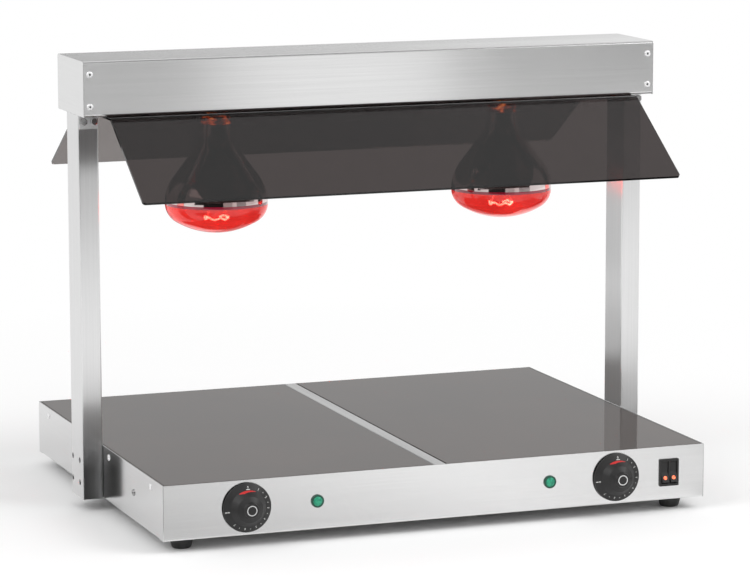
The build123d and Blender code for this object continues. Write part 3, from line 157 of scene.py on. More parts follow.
class Finish:
    """A material being built, with short ways to add the nodes that drive its shader."""

    def __init__(self, name, colour, roughness, metallic=0.0):
        self.material = bpy.data.materials.new(name)
        self.material.use_nodes = True
        self.tree = self.material.node_tree
        self.shader = self.tree.nodes["Principled BSDF"]
        self.normal = None
        self.set("Base Color", (*colour, 1.0))
        self.set("Roughness", roughness)
        self.set("Metallic", metallic)

    def set(self, socket, value):
        """Sets one of the shader's own sockets."""
        self.shader.inputs[socket].default_value = value

    def node(self, kind, **inputs):
        """A new node with some of its inputs set."""
        added = self.tree.nodes.new(kind)
        for socket, value in inputs.items():
            added.inputs[socket].default_value = value
        return added

    def link(self, source, target):
        """Joins an output to an input."""
        self.tree.links.new(source, target)

    def maths(self, operation, *values):
        """The outcome of one sum on one or two outputs."""
        sum_node = self.node("ShaderNodeMath")
        sum_node.operation = operation
        for socket, value in zip(sum_node.inputs, values):
            self.link(value, socket)
        return sum_node.outputs["Value"]

    def place(self, stretch):
        """Coordinates in the object's own frame, scaled along each axis."""
        coordinates = self.node("ShaderNodeTexCoord")
        mapping = self.node("ShaderNodeMapping", Scale=stretch)
        self.link(coordinates.outputs["Object"], mapping.inputs["Vector"])
        return mapping.outputs["Vector"]

    def noise(self, stretch, detail=NOISE_DETAIL):
        """A soft random pattern between 0 and 1."""
        texture = self.node("ShaderNodeTexNoise", Scale=1.0, Detail=detail, Roughness=NOISE_ROUGHNESS)
        self.link(self.place(stretch), texture.inputs["Vector"])
        return texture.outputs["Fac"]

    def cells(self, stretch):
        """A pattern of distances to scattered points."""
        texture = self.node("ShaderNodeTexVoronoi", Scale=1.0)
        self.link(self.place(stretch), texture.inputs["Vector"])
        return texture.outputs["Distance"]

    def fit(self, factor, low, high, span=PATTERN_SPAN):
        """A span of a pattern's values spread over another range."""
        limits = {"From Min": span[0], "From Max": span[1], "To Min": low, "To Max": high}
        scale = self.node("ShaderNodeMapRange", **limits)
        self.link(factor, scale.inputs["Value"])
        return scale.outputs["Result"]

    def colours(self, factor, *shades, span=PATTERN_SPAN):
        """A pattern turned into shades, which lie at the places in the span."""
        ramp = self.node("ShaderNodeValToRGB")
        points = ramp.color_ramp.elements
        while len(points) < len(shades):
            points.new(0.5)
        for point, position, shade in zip(points, span, shades):
            point.position = position
            point.color = (*shade, 1.0)
        self.link(factor, ramp.inputs["Fac"])
        return ramp.outputs["Color"]

    def paint(self, factor, *shades, span=PATTERN_SPAN):
        """Drives the base colour, and gives it back."""
        colour = self.colours(factor, *shades, span=span)
        self.link(colour, self.shader.inputs["Base Color"])
        return colour

    def shine(self, colour, strength):
        """Drives the light that the surface gives off."""
        self.link(colour, self.shader.inputs["Emission Color"])
        self.set("Emission Strength", strength)

    def dull(self, factor, low, high):
        """Drives the roughness between two limits."""
        self.link(self.fit(factor, low, high), self.shader.inputs["Roughness"])

    def soften(self, radius=EDGE_RADIUS):
        """Rounds the edges in the shading, as on deburred sheet and moulded plastic."""
        bevel = self.node("ShaderNodeBevel", Radius=radius)
        bevel.samples = 4
        self.normal = bevel.outputs["Normal"]
        self.link(self.normal, self.shader.inputs["Normal"])

    def bump(self, factor, strength, distance):
        """Raises the surface by a pattern, on top of earlier bumps."""
        bump = self.node("ShaderNodeBump", Strength=strength, Distance=distance)
        self.link(factor, bump.inputs["Height"])
        if self.normal:
            self.link(self.normal, bump.inputs["Normal"])
        self.normal = bump.outputs["Normal"]
        self.link(self.normal, self.shader.inputs["Normal"])


def grey(level):
    """A neutral colour."""
    return (level, level, level)


def even(repeats):
    """A pattern's repeats a metre, the same along each axis."""
    return (repeats, repeats, repeats)


# Materials, by the names of their slots or their own
made = {}


def mottled(
    name, dark, light, scale, roughness,
    metallic=0.0, detail=NOISE_DETAIL, span=PATTERN_SPAN, edge=None, bump=None, sockets=None,
):
    """Makes a finish with one soft pattern in its colour and, as asked for, its gloss and height."""
    least, most = roughness
    middle_shade = [sum(parts) / 2 for parts in zip(dark, light)]
    finish = Finish(name, middle_shade, (least + most) / 2, metallic)
    pattern = finish.noise(scale, detail)
    finish.paint(pattern, dark, light, span=span)
    if least < most:
        finish.dull(pattern, least, most)
    for socket, value in (sockets or {}).items():
        finish.set(socket, value)
    if edge:
        finish.soften(edge)
    if bump:
        finish.bump(pattern, *bump)
    made[name] = finish.material


def brushed_steel(axis, light):
    """Stainless sheet grained along one axis, at a lightness that carries painted light and shade: streaks
    in colour and height, cloudy marks in the gloss.
    """
    finish = Finish(f"brushed_steel_{axis.lower()}", grey(light), STEEL_ROUGHNESS[axis][0], metallic=1.0)
    along = "XYZ".index(axis)
    coarse = list(even(GRAIN_ACROSS))
    fine = list(even(GRAIN_FINE))
    coarse[along] = GRAIN_ALONG
    fine[along] = GRAIN_ALONG
    streaks = finish.noise(coarse, detail=4.0)
    hair = finish.noise(fine, detail=2.0)
    clouds = finish.noise(even(4.0))
    finish.paint(streaks, grey((1 - STREAKS) * light), grey((1 + STREAKS) * light))
    finish.dull(clouds, *STEEL_ROUGHNESS[axis])
    finish.set("Anisotropic", STEEL_SMEAR[axis])
    finish.set("Anisotropic Rotation", 0.0 if axis == "Z" else 0.25)
    finish.soften()
    finish.bump(hair, 0.03, 0.1 * MM)
    return finish.material


def black_glass():
    """Glass-ceramic: near black, glossy, with a faint warm body and a slight ripple."""
    finish = Finish("black_glass", (0.03, 0.016, 0.012), 0.05)
    clouds = finish.noise(even(9.0), detail=2.0)
    finish.paint(clouds, (0.024, 0.013, 0.009), (0.036, 0.020, 0.014))
    finish.dull(finish.noise(even(60.0)), 0.03, 0.07)
    finish.set("IOR", 1.265)
    finish.set("Specular Tint", (1.0, 0.965, 0.945, 1.0))
    finish.bump(clouds, 0.02, 1.0 * MM)
    return finish.material


def smoked_acrylic(name, tint):
    """Smoked clear sheet, with faint rubbing marks in the gloss."""
    finish = Finish(name, tint, 0.02)
    haze = finish.noise(even(40.0), detail=4.0)
    finish.paint(haze, [0.96 * part for part in tint], [1.04 * part for part in tint])
    finish.dull(haze, 0.0, 0.03)
    finish.set("Transmission Weight", 1.0)
    finish.set("IOR", 1.42)
    return finish.material


def heater_silicone():
    """The heating mats' red-brown silicone, with the print of its woven core."""
    finish = Finish("heater_silicone", (0.45, 0.14, 0.08), 0.55)
    weave = finish.cells(even(700.0))
    finish.paint(weave, (0.38, 0.11, 0.06), (0.50, 0.17, 0.10), span=(0.1, 0.7))
    finish.bump(weave, 0.2, 0.2 * MM)
    return finish.material


def lit_lens(name, pale, deep, strength, facets):
    """Makes a lit lens: facets inside it, so many a metre, show as paler and deeper cells."""
    finish = Finish(name, pale, 0.15)
    cells = finish.cells(even(facets))
    finish.shine(finish.paint(cells, pale, deep, span=(0.1, 0.8)), strength)
    finish.bump(cells, 0.1, 0.3 * MM)
    made[name] = finish.material


def red_lamp_glass():
    """The lamps' ruby faces, lit from inside and slightly uneven in depth of colour."""
    finish = Finish("red_lamp_glass", (0.8, 0.07, 0.06), 0.06)
    clouds = finish.noise(even(28.0), detail=2.0)
    finish.shine(finish.paint(clouds, (0.70, 0.05, 0.042), (0.88, 0.085, 0.07)), 0.2)
    finish.set("Transmission Weight", 0.7)
    finish.set("IOR", 1.5)
    return finish.material


def lamp_neck_glass():
    """The neck above the mirror, where the filament's light shows in patches through the worn coating."""
    finish = Finish("lamp_neck_glass", (0.05, 0.02, 0.015), 0.1)
    clouds = finish.noise(even(220.0))
    finish.paint(clouds, (0.03, 0.012, 0.010), (0.06, 0.025, 0.018))
    finish.bump(clouds, 0.6, 4.0 * MM)
    worn = finish.noise((85.0, 85.0, 200.0), detail=4.0)
    shades = ((0.02, 0.002, 0.001), (0.6, 0.08, 0.012), (1.0, 0.36, 0.07))
    finish.shine(finish.colours(worn, *shades, span=(0.48, 0.56, 0.64)), 9.0)
    return finish.material


def filament_wire():
    """The filament's white-hot coil, cooler in places."""
    finish = Finish("filament", (0.9, 0.6, 0.3), 0.4)
    heat = finish.noise(even(220.0))
    finish.shine(finish.paint(heat, (1.0, 0.55, 0.42), (1.0, 0.88, 0.78)), 26.0)
    return finish.material


# Mottled finishes: name, dark and light shade, repeats a metre, least and most roughness, and the rest
INK = {"scale": even(1800.0), "roughness": (0.5, 0.5), "detail": 4.0, "span": (0.36, 0.5)}
RUBBER = {"scale": even(1500.0), "roughness": (0.5, 0.7), "bump": (0.15, 0.1 * MM)}
# The brackets' tumbled sheet, duller than the panels
mottled("satin_steel", grey(0.84), grey(0.94), even(60.0), (0.45, 0.6), metallic=1.0, detail=5.0)
# Mill-finish sheet and rails inside the casing and the header
mottled("plain_steel", grey(0.46), grey(0.56), even(30.0), (0.34, 0.48), metallic=1.0, detail=5.0)
# Zinc-plated screws and nuts, dulled unevenly
mottled(
    "fastener_steel", (0.42, 0.42, 0.43), (0.62, 0.62, 0.63), even(900.0), (0.28, 0.45),
    metallic=1.0, detail=4.0,
)
# The bracket bolts and the earth screw: zinc painted darker than the other fasteners, a painted shade,
# bright where it catches the light
mottled("bolt_steel_painted_dark", grey(0.3), grey(0.52), even(900.0), (0.1, 0.2), metallic=1.0, detail=4.0)
# Bright pop rivets with faint drawing marks, and their broken pins, rough and dark: the pins' near black is
# partly their own and partly painted shade of the hole they sit in
mottled("rivet_aluminium", grey(0.84), (0.94, 0.94, 0.95), even(700.0), (0.2, 0.34), metallic=0.5)
mottled("rivet_pin_painted_shade", grey(0.03), grey(0.1), even(2500.0), (0.6, 0.6), metallic=1.0)
# The feet's black rubber and the sealant round the glass, with a fine tooth
mottled("foot_rubber", grey(0.0176), grey(0.0264), **RUBBER)
mottled("silicone", grey(0.024), grey(0.036), **RUBBER)
# Pale matted fibre
mottled(
    "mineral_wool", (0.66, 0.61, 0.47), (0.84, 0.80, 0.68), (90.0, 900.0, 900.0), (0.95, 0.95),
    detail=6.0, bump=(0.5, 0.5 * MM),
)
# The sensors' drawn copper, slightly tarnished
mottled("copper", (0.55, 0.28, 0.17), (0.78, 0.48, 0.33), (150.0, 40.0, 150.0), (0.3, 0.5), metallic=1.0)
# Satin moulded plastic: a fine spark-eroded texture and eased edges
mottled(
    "black_plastic", grey(0.016), (0.026, 0.025, 0.025), even(1300.0), (0.34, 0.46),
    edge=0.3 * MM, bump=(0.08, 0.1 * MM), sockets={"Specular IOR Level": 0.35},
)
# Pale moulded bodies of thermostats and terminals
mottled(
    "control_body", (0.74, 0.72, 0.66), (0.84, 0.82, 0.76), even(800.0), (0.5, 0.5), bump=(0.1, 0.1 * MM),
)
# The pilot lights' dark green bezels
mottled("pilot_bezel", (0.008, 0.055, 0.035), (0.014, 0.085, 0.055), even(900.0), (0.18, 0.3))
# The lamps' screw caps, nickelled brass warmed by heat
mottled("brass", (0.58, 0.41, 0.2), (0.82, 0.66, 0.36), even(250.0), (0.24, 0.42), metallic=1.0, detail=4.0)
# Glazed white porcelain
mottled("porcelain", (0.86, 0.85, 0.8), (0.92, 0.91, 0.88), even(60.0), (0.15, 0.15), bump=(0.1, 0.3 * MM))
# The crimson line where the ruby face runs up over the mirror's edge
mottled(
    "lamp_edge", (0.27, 0.006, 0.02), (0.46, 0.014, 0.05), even(40.0), (0.08, 0.08),
    sockets={"Coat Weight": 1.0},
)
# The silvered upper bulb, with thin smoky patches in the coating
mottled(
    "lamp_mirror", (0.52, 0.37, 0.36), (0.88, 0.78, 0.77), (16.0, 16.0, 26.0), (0.03, 0.1),
    metallic=1.0, span=(0.34, 0.66),
)
# The nickel lead wires and the glass stem's seal
mottled("support_wire", grey(0.5), grey(0.68), even(600.0), (0.3, 0.3), metallic=1.0)
# A knob's metal ring, and the inks on its dial, a little worn
mottled("bright_ring", grey(0.72), grey(0.86), even(1200.0), (0.2, 0.2), metallic=1.0)
mottled("dial_white", (0.44, 0.44, 0.429), (0.8, 0.8, 0.78), **INK)
mottled("dial_red", (0.341, 0.011, 0.011), (0.62, 0.02, 0.02), **INK)

# Lit lenses of the pilot lights and the rockers: pale and deep shade
lit_lens("green_lens", (0.03, 0.36, 0.20), (0.008, 0.17, 0.10), strength=0.2, facets=420.0)
lit_lens("amber_lens", (1.0, 0.30, 0.14), (0.75, 0.06, 0.03), strength=0.9, facets=520.0)

# The other finishes, and those of single nodes, which go before their slots'
steel = {axis: brushed_steel(axis, light) for axis, light in STEEL_PAINTED_LEVEL.items()}
made |= {
    "black_glass": black_glass(), "smoked_acrylic": smoked_acrylic("smoked_acrylic", FRONT_SMOKE),
    "heater_silicone": heater_silicone(), "red_lamp_glass": red_lamp_glass(),
    "lamp_neck_glass": lamp_neck_glass(), "hot_filament": filament_wire(), "filament": made["support_wire"],
}
OTHER = {
    # The rear guard's paler tint is painted reflection
    "rear_guard": smoked_acrylic("smoked_acrylic_rear_painted_sheen", REAR_SMOKE_PAINTED_PALE), "brackets": made["satin_steel"],
    # The centre strip's darker sheet is painted shade
    "centre_strip": brushed_steel("Y", STRIP_PAINTED_LEVEL),
}

# Which way the sheet's grain runs on each steel piece; the rest runs along X
GRAIN = {
    "left_post": "Z", "right_post": "Z", "left_side_panel": "Y", "right_side_panel": "Y",
    "left_header_end_cap": "Y", "right_header_end_cap": "Y",
}


def dress_frame():
    """Gives every CAD node the finish of its slot in the record."""
    for name, slot in slots.items():
        mesh = frame["nodes"][name].data
        mesh.materials.clear()
        finish = steel[GRAIN.get(name, "X")] if slot == "brushed_steel" else made[slot]
        mesh.materials.append(OTHER.get(name, finish))


# Shapes

def rounded(points, steps=CORNER_STEPS):
    """The points of a line of (radius, height, corner radius), with its corners turned into arcs."""
    line = []
    last = len(points) - 1
    for index, (x, y, corner) in enumerate(points):
        here = Vector((x, y))
        if corner == 0 or index in (0, last):
            line.append(here)
            continue
        before = (Vector(points[index - 1][:2]) - here).normalized()
        after = (Vector(points[index + 1][:2]) - here).normalized()
        half = before.angle(after) / 2
        centre = here + (before + after).normalized() * corner / math.sin(half)
        start = here + before * corner / math.tan(half) - centre
        end = here + after * corner / math.tan(half) - centre
        turn = start.angle_signed(end)
        for step in range(steps + 1):
            line.append(centre + Matrix.Rotation(-turn * step / steps, 2) @ start)
    return line


def finished(shape, name):
    """The mesh of a shape that was built point by point."""
    mesh = bpy.data.meshes.new(name)
    shape.to_mesh(mesh)
    shape.free()
    return mesh


def lathe(profile, segments=SEGMENTS):
    """A mesh turned about Z from a line of (radius, height) points, closed where the radius is nothing."""
    shape = bmesh.new()
    rings = []
    for radius, height in profile:
        if radius < ON_AXIS:
            rings.append([shape.verts.new((0, 0, height))])
            continue
        turns = [2 * math.pi * step / segments for step in range(segments)]
        rings.append([shape.verts.new((radius * math.cos(a), radius * math.sin(a), height)) for a in turns])
    for low, high in zip(rings, rings[1:]):
        for step in range(segments):
            following = (step + 1) % segments
            corners = [low[step % len(low)], low[following % len(low)]]
            corners += [high[following % len(high)], high[step % len(high)]]
            face = list(dict.fromkeys(corners))
            if len(face) > 2:
                shape.faces.new(face)
    bmesh.ops.recalc_face_normals(shape, faces=shape.faces)
    return finished(shape, "turned")


def from_curve(curve):
    """The mesh of a curve or of text."""
    holder = bpy.data.objects.new("curve", curve)
    mesh = bpy.data.meshes.new_from_object(holder)
    bpy.data.objects.remove(holder)
    return mesh


def joined(meshes):
    """Several meshes in one."""
    shape = bmesh.new()
    for mesh in meshes:
        shape.from_mesh(mesh)
        bpy.data.meshes.remove(mesh)
    return finished(shape, "joined")


def moved(mesh, matrix):
    """A copy of a mesh, put in place."""
    copy = mesh.copy()
    copy.transform(matrix)
    return copy


def facing(place, axis):
    """The matrix that stands a mesh made along +Z at a place, with its Z along an axis."""
    return Matrix.Translation(place) @ Vector(axis).to_track_quat("Z", "Y").to_matrix().to_4x4()


def on_front(box):
    """The matrix that stands a mesh made along +Z on the rear of a box: Z out of the front panel, Y up."""
    centre = middle(box)
    return Matrix.Translation((centre.x, box[1].y, centre.z)) @ Matrix.Rotation(math.pi / 2, 4, "X")


def show(name, data):
    """Adds an object to the scene."""
    thing = bpy.data.objects.new(name, data)
    bpy.context.scene.collection.objects.link(thing)
    return thing


def piece(name, mesh, body, slot, *stands_for, finish=None):
    """Adds a smooth-shaded piece that rides on a CAD body, wears its slot's finish or its own, and may
    stand for CAD nodes.
    """
    mesh.name = name
    for face in mesh.polygons:
        face.use_smooth = True
    mesh.set_sharp_from_angle(angle=SHARP_ANGLE)
    mesh.materials.clear()
    mesh.materials.append(made[finish or slot])
    thing = show(name, mesh)
    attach(thing, body)
    if stands_for:
        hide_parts(*stands_for)


def solid_boxes(node):
    """The lowest and highest corner of each separate solid in a CAD node, from left to right."""
    shape = bmesh.new()
    shape.from_mesh(frame["nodes"][node].data)
    bmesh.ops.remove_doubles(shape, verts=shape.verts, dist=SAME_PLACE)
    left = set(shape.verts)
    boxes = []
    while left:
        found = [left.pop()]
        for vertex in found:
            for edge in vertex.link_edges:
                other = edge.other_vert(vertex)
                if other in left:
                    left.remove(other)
                    found.append(other)
        low = Vector(min(v.co[i] for v in found) for i in range(3))
        high = Vector(max(v.co[i] for v in found) for i in range(3))
        boxes.append((low, high))
    shape.free()
    return sorted(boxes, key=lambda box: tuple(box[0]))


def middle(box):
    """The centre of a box."""
    return (box[0] + box[1]) / 2


# Knobs, from the panel outwards: sizes of the skirt, dial, hub and boss as in the CAD model
KNOB_SKIRT = 29.0 * MM
KNOB_RIM = (KNOB_SKIRT, 2.0 * MM)
KNOB_DIAL = (21.5 * MM, 5.5 * MM)
KNOB_HUB = (15.5 * MM, 13.5 * MM)
KNOB_TOP = (9.5 * MM, 17.0 * MM)
KNOB_BOSS = (8.5 * MM, 19.7 * MM)
KNOB_CORNERS = (0.3 * MM, 0.6 * MM, 1.2 * MM, 1.0 * MM, 1.5 * MM, 0.5 * MM)
RING_RADII = (5.0 * MM, 6.1 * MM)
RING_TOP = 20.0 * MM
PRINT_LIFT = 0.06 * MM
PRINT_DEPTH = 0.12 * MM
DIGIT_SIZE = 4.2 * MM
DIGIT_BASE = 6.3 * MM
DIAL_DIGITS = {0: "0", 31: "1", 62: "2", 93: "3", 125: "4", 157: "5", 189: "6", 221: "7"}
DIAL_DOTS = (47, 78, 109, 141, 173, 205)
DOT_SIZE = 0.9 * MM
DOT_DEPTH = 4.2 * MM

# Bars on the dial: turn in degrees, width round it, depth from its rim and length along its slope
DIAL_BARS = (
    (0, 6.0 * MM, 7.0 * MM, 0.7 * MM),
    (262, 1.0 * MM, 1.6 * MM, 3.0 * MM),
    (262, 1.6 * MM, 5.4 * MM, 1.6 * MM),
)

# The red crescent on the hub: its ends in degrees, then how it widens and runs out
CRESCENT_TURN = (-32.0, 26.0)
CRESCENT_INSET = 0.7 * MM
CRESCENT_WIDTH = 4.2 * MM
CRESCENT_LEAST = 0.15 * MM
CRESCENT_START = 0.25
CRESCENT_SWELL = 3.0
CRESCENT_FADE = 0.6
CRESCENT_STEPS = 28


def on_cone(wide, narrow, turn, depth, lift):
    """A point on a cone between two (radius, height) rims: turn from the top, depth from the first."""
    start = Vector(wide)
    run = Vector(narrow) - start
    out = Vector((run.y, -run.x)).normalized()
    spot = start + run.normalized() * depth + out * lift
    return Vector((spot.x * math.sin(turn), spot.x * math.cos(turn), spot.y))


def digit_mesh(turn, text):
    """A digit wrapped on the dial's cone."""
    curve = bpy.data.curves.new("digit", "FONT")
    curve.body = text
    curve.size = DIGIT_SIZE
    curve.align_x = "CENTER"
    curve.extrude = PRINT_DEPTH / 2
    curve.resolution_u = 3
    mesh = from_curve(curve)
    for vertex in mesh.vertices:
        x, y, z = vertex.co
        depth = DIGIT_BASE - y
        angle = math.radians(turn) + x / KNOB_SKIRT
        vertex.co = on_cone(KNOB_RIM, KNOB_DIAL, angle, depth, z + PRINT_LIFT)
    return mesh


def patch_mesh(wide, narrow, turns, edges):
    """A thin closed patch on a cone; edges gives its two depths at each turn."""
    shape = bmesh.new()
    rows = []
    for turn in turns:
        outer, inner = edges(turn)
        corners = [(outer, PRINT_DEPTH), (inner, PRINT_DEPTH), (inner, -PRINT_DEPTH), (outer, -PRINT_DEPTH)]
        spots = [on_cone(wide, narrow, math.radians(turn), depth, lift) for depth, lift in corners]
        rows.append([shape.verts.new(spot) for spot in spots])
    for before, after in zip(rows, rows[1:]):
        for here in range(4):
            following = (here + 1) % 4
            shape.faces.new((before[here], before[following], after[following], after[here]))
    shape.faces.new(rows[0])
    shape.faces.new(rows[-1][::-1])
    bmesh.ops.recalc_face_normals(shape, faces=shape.faces)
    return finished(shape, "patch")


def dial_mark(turn, width, depth, length):
    """A short bar or dot on the dial: width round it and length along its slope."""
    half = math.degrees(width / KNOB_SKIRT) / 2
    return patch_mesh(KNOB_RIM, KNOB_DIAL, (turn - half, turn + half), lambda at: (depth, depth + length))


def crescent_edges(turn):
    """The crescent on the hub: widest left of the top, running out to a point on the right."""
    start, end = CRESCENT_TURN
    share = (turn - start) / (end - start)
    swell = min(1.0, CRESCENT_SWELL * share + CRESCENT_START)
    width = CRESCENT_WIDTH * swell * (1.0 - share) ** CRESCENT_FADE
    return CRESCENT_INSET, CRESCENT_INSET + max(width, CRESCENT_LEAST)


def knob(side):
    """A skirted knob with a printed dial, a red crescent on its hub and a bright ring in its boss."""
    body = f"{side}_knob"
    place = on_front(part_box(body))
    levels = ((KNOB_SKIRT, 0), KNOB_RIM, KNOB_DIAL, KNOB_HUB, KNOB_TOP, KNOB_BOSS)
    outline = [(*level, corner) for level, corner in zip(levels, KNOB_CORNERS)]
    grip = lathe(rounded([(0, 0, 0), *outline, (0, KNOB_BOSS[1], 0)]))
    piece(f"{side}_knob_grip", moved(grip, place), body, "black_plastic", body)
    marks = [digit_mesh(turn, text) for turn, text in DIAL_DIGITS.items()]
    marks += [dial_mark(turn, DOT_SIZE, DOT_DEPTH, DOT_SIZE) for turn in DIAL_DOTS]
    marks += [dial_mark(*bar) for bar in DIAL_BARS]
    piece(f"{side}_dial_print", moved(joined(marks), place), body, None, finish="dial_white")
    start, end = CRESCENT_TURN
    turns = [start + (end - start) * step / CRESCENT_STEPS for step in range(CRESCENT_STEPS + 1)]
    crescent = patch_mesh(KNOB_DIAL, KNOB_HUB, turns, crescent_edges)
    piece(f"{side}_dial_crescent", moved(crescent, place), body, None, finish="dial_red")
    inner, outer = RING_RADII
    seat = KNOB_BOSS[1] - PRINT_DEPTH
    section = [(inner, seat), (inner, RING_TOP), (outer, RING_TOP), (outer, seat), (inner, seat)]
    piece(f"{side}_knob_ring", moved(lathe(section), place), body, None, finish="bright_ring")


# Pilot lights
PILOT_FLANGE = 2.2 * MM
PILOT_CORNER = 0.8 * MM
PILOT_LIP = 0.9
LENS_DROP = 0.5 * MM
CROWN_STEPS = 8


def pilot(side, bezel_box, lens_box):
    """A round bezel with a rolled lip, and a crowned lens set into it."""
    low, high = bezel_box
    place = on_front(bezel_box)
    radius = (high.x - low.x) / 2
    barrel = (lens_box[1].x - lens_box[0].x) / 2
    front = high.y - low.y
    flange = front - PILOT_FLANGE
    window = PILOT_LIP * barrel
    floor = front - 2 * LENS_DROP
    bezel = rounded([
        (0, 0, 0), (barrel, 0, 0), (barrel, flange, 0), (radius, flange, 0), (radius, front, PILOT_CORNER),
        (window, front, LENS_DROP / 2), (window, floor, 0), (0, floor, 0),
    ])
    piece(f"{side}_pilot_bezel", moved(lathe(bezel), place), "base", "pilot_bezel", "pilot_bodies")
    crown = high.y - lens_box[0].y
    rim = front - LENS_DROP
    dome = [(0, floor), (window, floor)]
    for step in range(CROWN_STEPS):
        angle = math.pi / 2 * step / CROWN_STEPS
        dome.append((window * math.cos(angle), rim + (crown - rim) * math.sin(angle)))
    dome.append((0, crown))
    piece(f"{side}_pilot_lens", moved(lathe(dome), place), "base", "green_lens", "pilot_lenses")


# Rivets, screws and bolts: head heights as in the CAD model
RIVET_HEAD = 1.3 * MM
RIVET_HOLE = 1.35 * MM
RIVET_EDGE = 0.3 * MM
GUARD_SCREW_HEAD = 2.8 * MM
POST_SCREW_HEAD = 2.4 * MM
EARTH_SCREW_HEAD = 1.6 * MM
BOLT_HEAD = 3.5 * MM
BOLT_SHANK = 2.5 * MM
HEX_SIDES = 6

# Shares of a head's radius and height: the rivets' dome, pan heads' cross and edge, bolts' chamfer
RIVET_DOME = ((0.9, 0.6), (0.72, 0.87), (0.52, 1.0))
CROSS_WIDTH = 0.22
CROSS_LENGTH = 1.25
CROSS_DEPTH = 0.55
PAN_EDGE = (0.95, 0.7)
PAN_CORNER = 0.3
HEX_CHAMFER = 0.15

# Shares of a rivet's hole and of its head's height: the socket in the dome, and the pin's end in it
RIVET_SOCKET = ((1.0, 0.97), (0.85, 0.2), (0.5, 0.3), (0.0, 0.35))
PIN_TIP = ((0.8, 0.45), (0.4, 0.58), (0.0, 0.6))


def pin_end(radius, height, shank):
    """The end of a rivet's pin, down in the head's hole; it is the same for every radius of head."""
    tip = [(across * RIVET_HOLE, up * height) for across, up in PIN_TIP]
    return lathe([(0, -shank / 2), (tip[0][0], -shank / 2), *tip], FINE_SEGMENTS)


def rivet_head(radius, height, shank):
    """A domed rivet head with a socket for the broken end of its pin, on its shank."""
    stem = radius / 2
    dome = [(across * radius, up * height) for across, up in RIVET_DOME]
    socket = [(across * RIVET_HOLE, up * height) for across, up in RIVET_SOCKET]
    base = [(0, -shank), (stem, -shank), (stem, 0), (radius, 0), (radius, RIVET_EDGE)]
    return lathe(base + dome + socket, FINE_SEGMENTS)


def box_mesh(size, matrix):
    """A box of a given size, used as a cutter."""
    shape = bmesh.new()
    bmesh.ops.create_cube(shape, size=1.0, matrix=matrix @ Matrix.Diagonal((*size, 1)))
    return finished(shape, "cutter")


def cut(mesh, cutters):
    """A mesh with others taken out of it."""
    holder = show("blank", mesh)
    tools = [show("cutter", cutter) for cutter in cutters]
    for tool in tools:
        step = holder.modifiers.new("cut", "BOOLEAN")
        step.solver = "EXACT"
        step.object = tool
    graph = bpy.context.evaluated_depsgraph_get()
    result = bpy.data.meshes.new_from_object(holder.evaluated_get(graph))
    for thing in (holder, *tools):
        bpy.data.objects.remove(thing)
    return result


def pan_head(radius, height, shank):
    """A pan head with a cross recess, on its shank."""
    stem = radius / 2
    corner = PAN_CORNER * height
    edge = (PAN_EDGE[0] * radius, PAN_EDGE[1] * height, corner)
    head = lathe(rounded([
        (0, -shank, 0), (stem, -shank, 0), (stem, 0, 0), (radius, 0, 0), edge,
        (stem, height, corner), (0, height, 0),
    ]), FINE_SEGMENTS)
    size = (CROSS_LENGTH * radius, CROSS_WIDTH * radius, 2 * CROSS_DEPTH * height)
    top = Matrix.Translation((0, 0, height))
    spins = [Matrix.Rotation(turn, 4, "Z") for turn in (0, math.pi / 2)]
    return cut(head, [box_mesh(size, top @ spin) for spin in spins])


def hex_prism(corner, bottom, top, chamfer):
    """A hexagon with a corner up, and the corners of its upper end turned off to a cone."""
    shape = bmesh.new()
    flat = corner * math.cos(math.pi / HEX_SIDES)
    rings = []
    turns = [math.pi / HEX_SIDES + 2 * math.pi * side / HEX_SIDES for side in range(HEX_SIDES)]
    for radius, level in ((corner, bottom), (corner, top - chamfer), (flat, top)):
        spots = [(radius * math.cos(turn), radius * math.sin(turn), level) for turn in turns]
        rings.append([shape.verts.new(spot) for spot in spots])
    for low, high in zip(rings, rings[1:]):
        for side in range(HEX_SIDES):
            following = (side + 1) % HEX_SIDES
            shape.faces.new((low[side], low[following], high[following], high[side]))
    shape.faces.new(rings[0][::-1])
    shape.faces.new(rings[-1])
    return finished(shape, "hexagon")


def hex_head(radius, height, shank):
    """A hexagon bolt's head on its shank."""
    stem = lathe([(0, -shank), (BOLT_SHANK, -shank), (BOLT_SHANK, 0), (0, 0)], FINE_SEGMENTS)
    return joined([hex_prism(radius, 0, height, HEX_CHAMFER * height), stem])


def fasteners(node, axis, height, build, finish=None, out=None):
    """Stands a head on each solid of a CAD node; heads point away from the part's middle, or along out."""
    heads = []
    for low, high in solid_boxes(node):
        seat = (low + high) / 2
        direction = Vector((0, 0, 0))
        direction[axis] = out or math.copysign(1, seat[axis])
        size = high - low
        end = high if direction[axis] > 0 else low
        seat[axis] = end[axis] - height * direction[axis]
        radius = max(size[other] for other in range(3) if other != axis) / 2
        mesh = build(radius, height, size[axis] - height)
        mesh.transform(facing(seat, direction))
        heads.append(mesh)
    piece(f"{node}_{build.__name__}", joined(heads), "base", slots[node], node, finish=finish)


# Feet
FOOT_BOTTOM = 11.0 * MM
FOOT_TOP = 15.0 * MM
FOOT_HEIGHT = 15.0 * MM
FOOT_CORNER = 2.6 * MM
FOOT_TOP_CORNER = 0.4 * MM
FOOT_RECESS = (5.0 * MM, 6.0 * MM)
RECESS_CORNER = 0.5 * MM


def feet():
    """Tapered rubber feet with a rounded tread and a recess for the screw."""
    hole, depth = FOOT_RECESS
    outline = rounded([
        (0, depth, 0), (hole, depth, 0), (hole, 0, RECESS_CORNER), (FOOT_BOTTOM, 0, FOOT_CORNER),
        (FOOT_TOP, FOOT_HEIGHT, FOOT_TOP_CORNER), (0, FOOT_HEIGHT, 0),
    ])
    foot = lathe(outline)
    places = [middle(box) for box in solid_boxes("feet")]
    all_feet = joined([moved(foot, Matrix.Translation((at.x, at.y, 0))) for at in places])
    bpy.data.meshes.remove(foot)
    piece("rubber_feet", all_feet, "base", "foot_rubber", "feet")


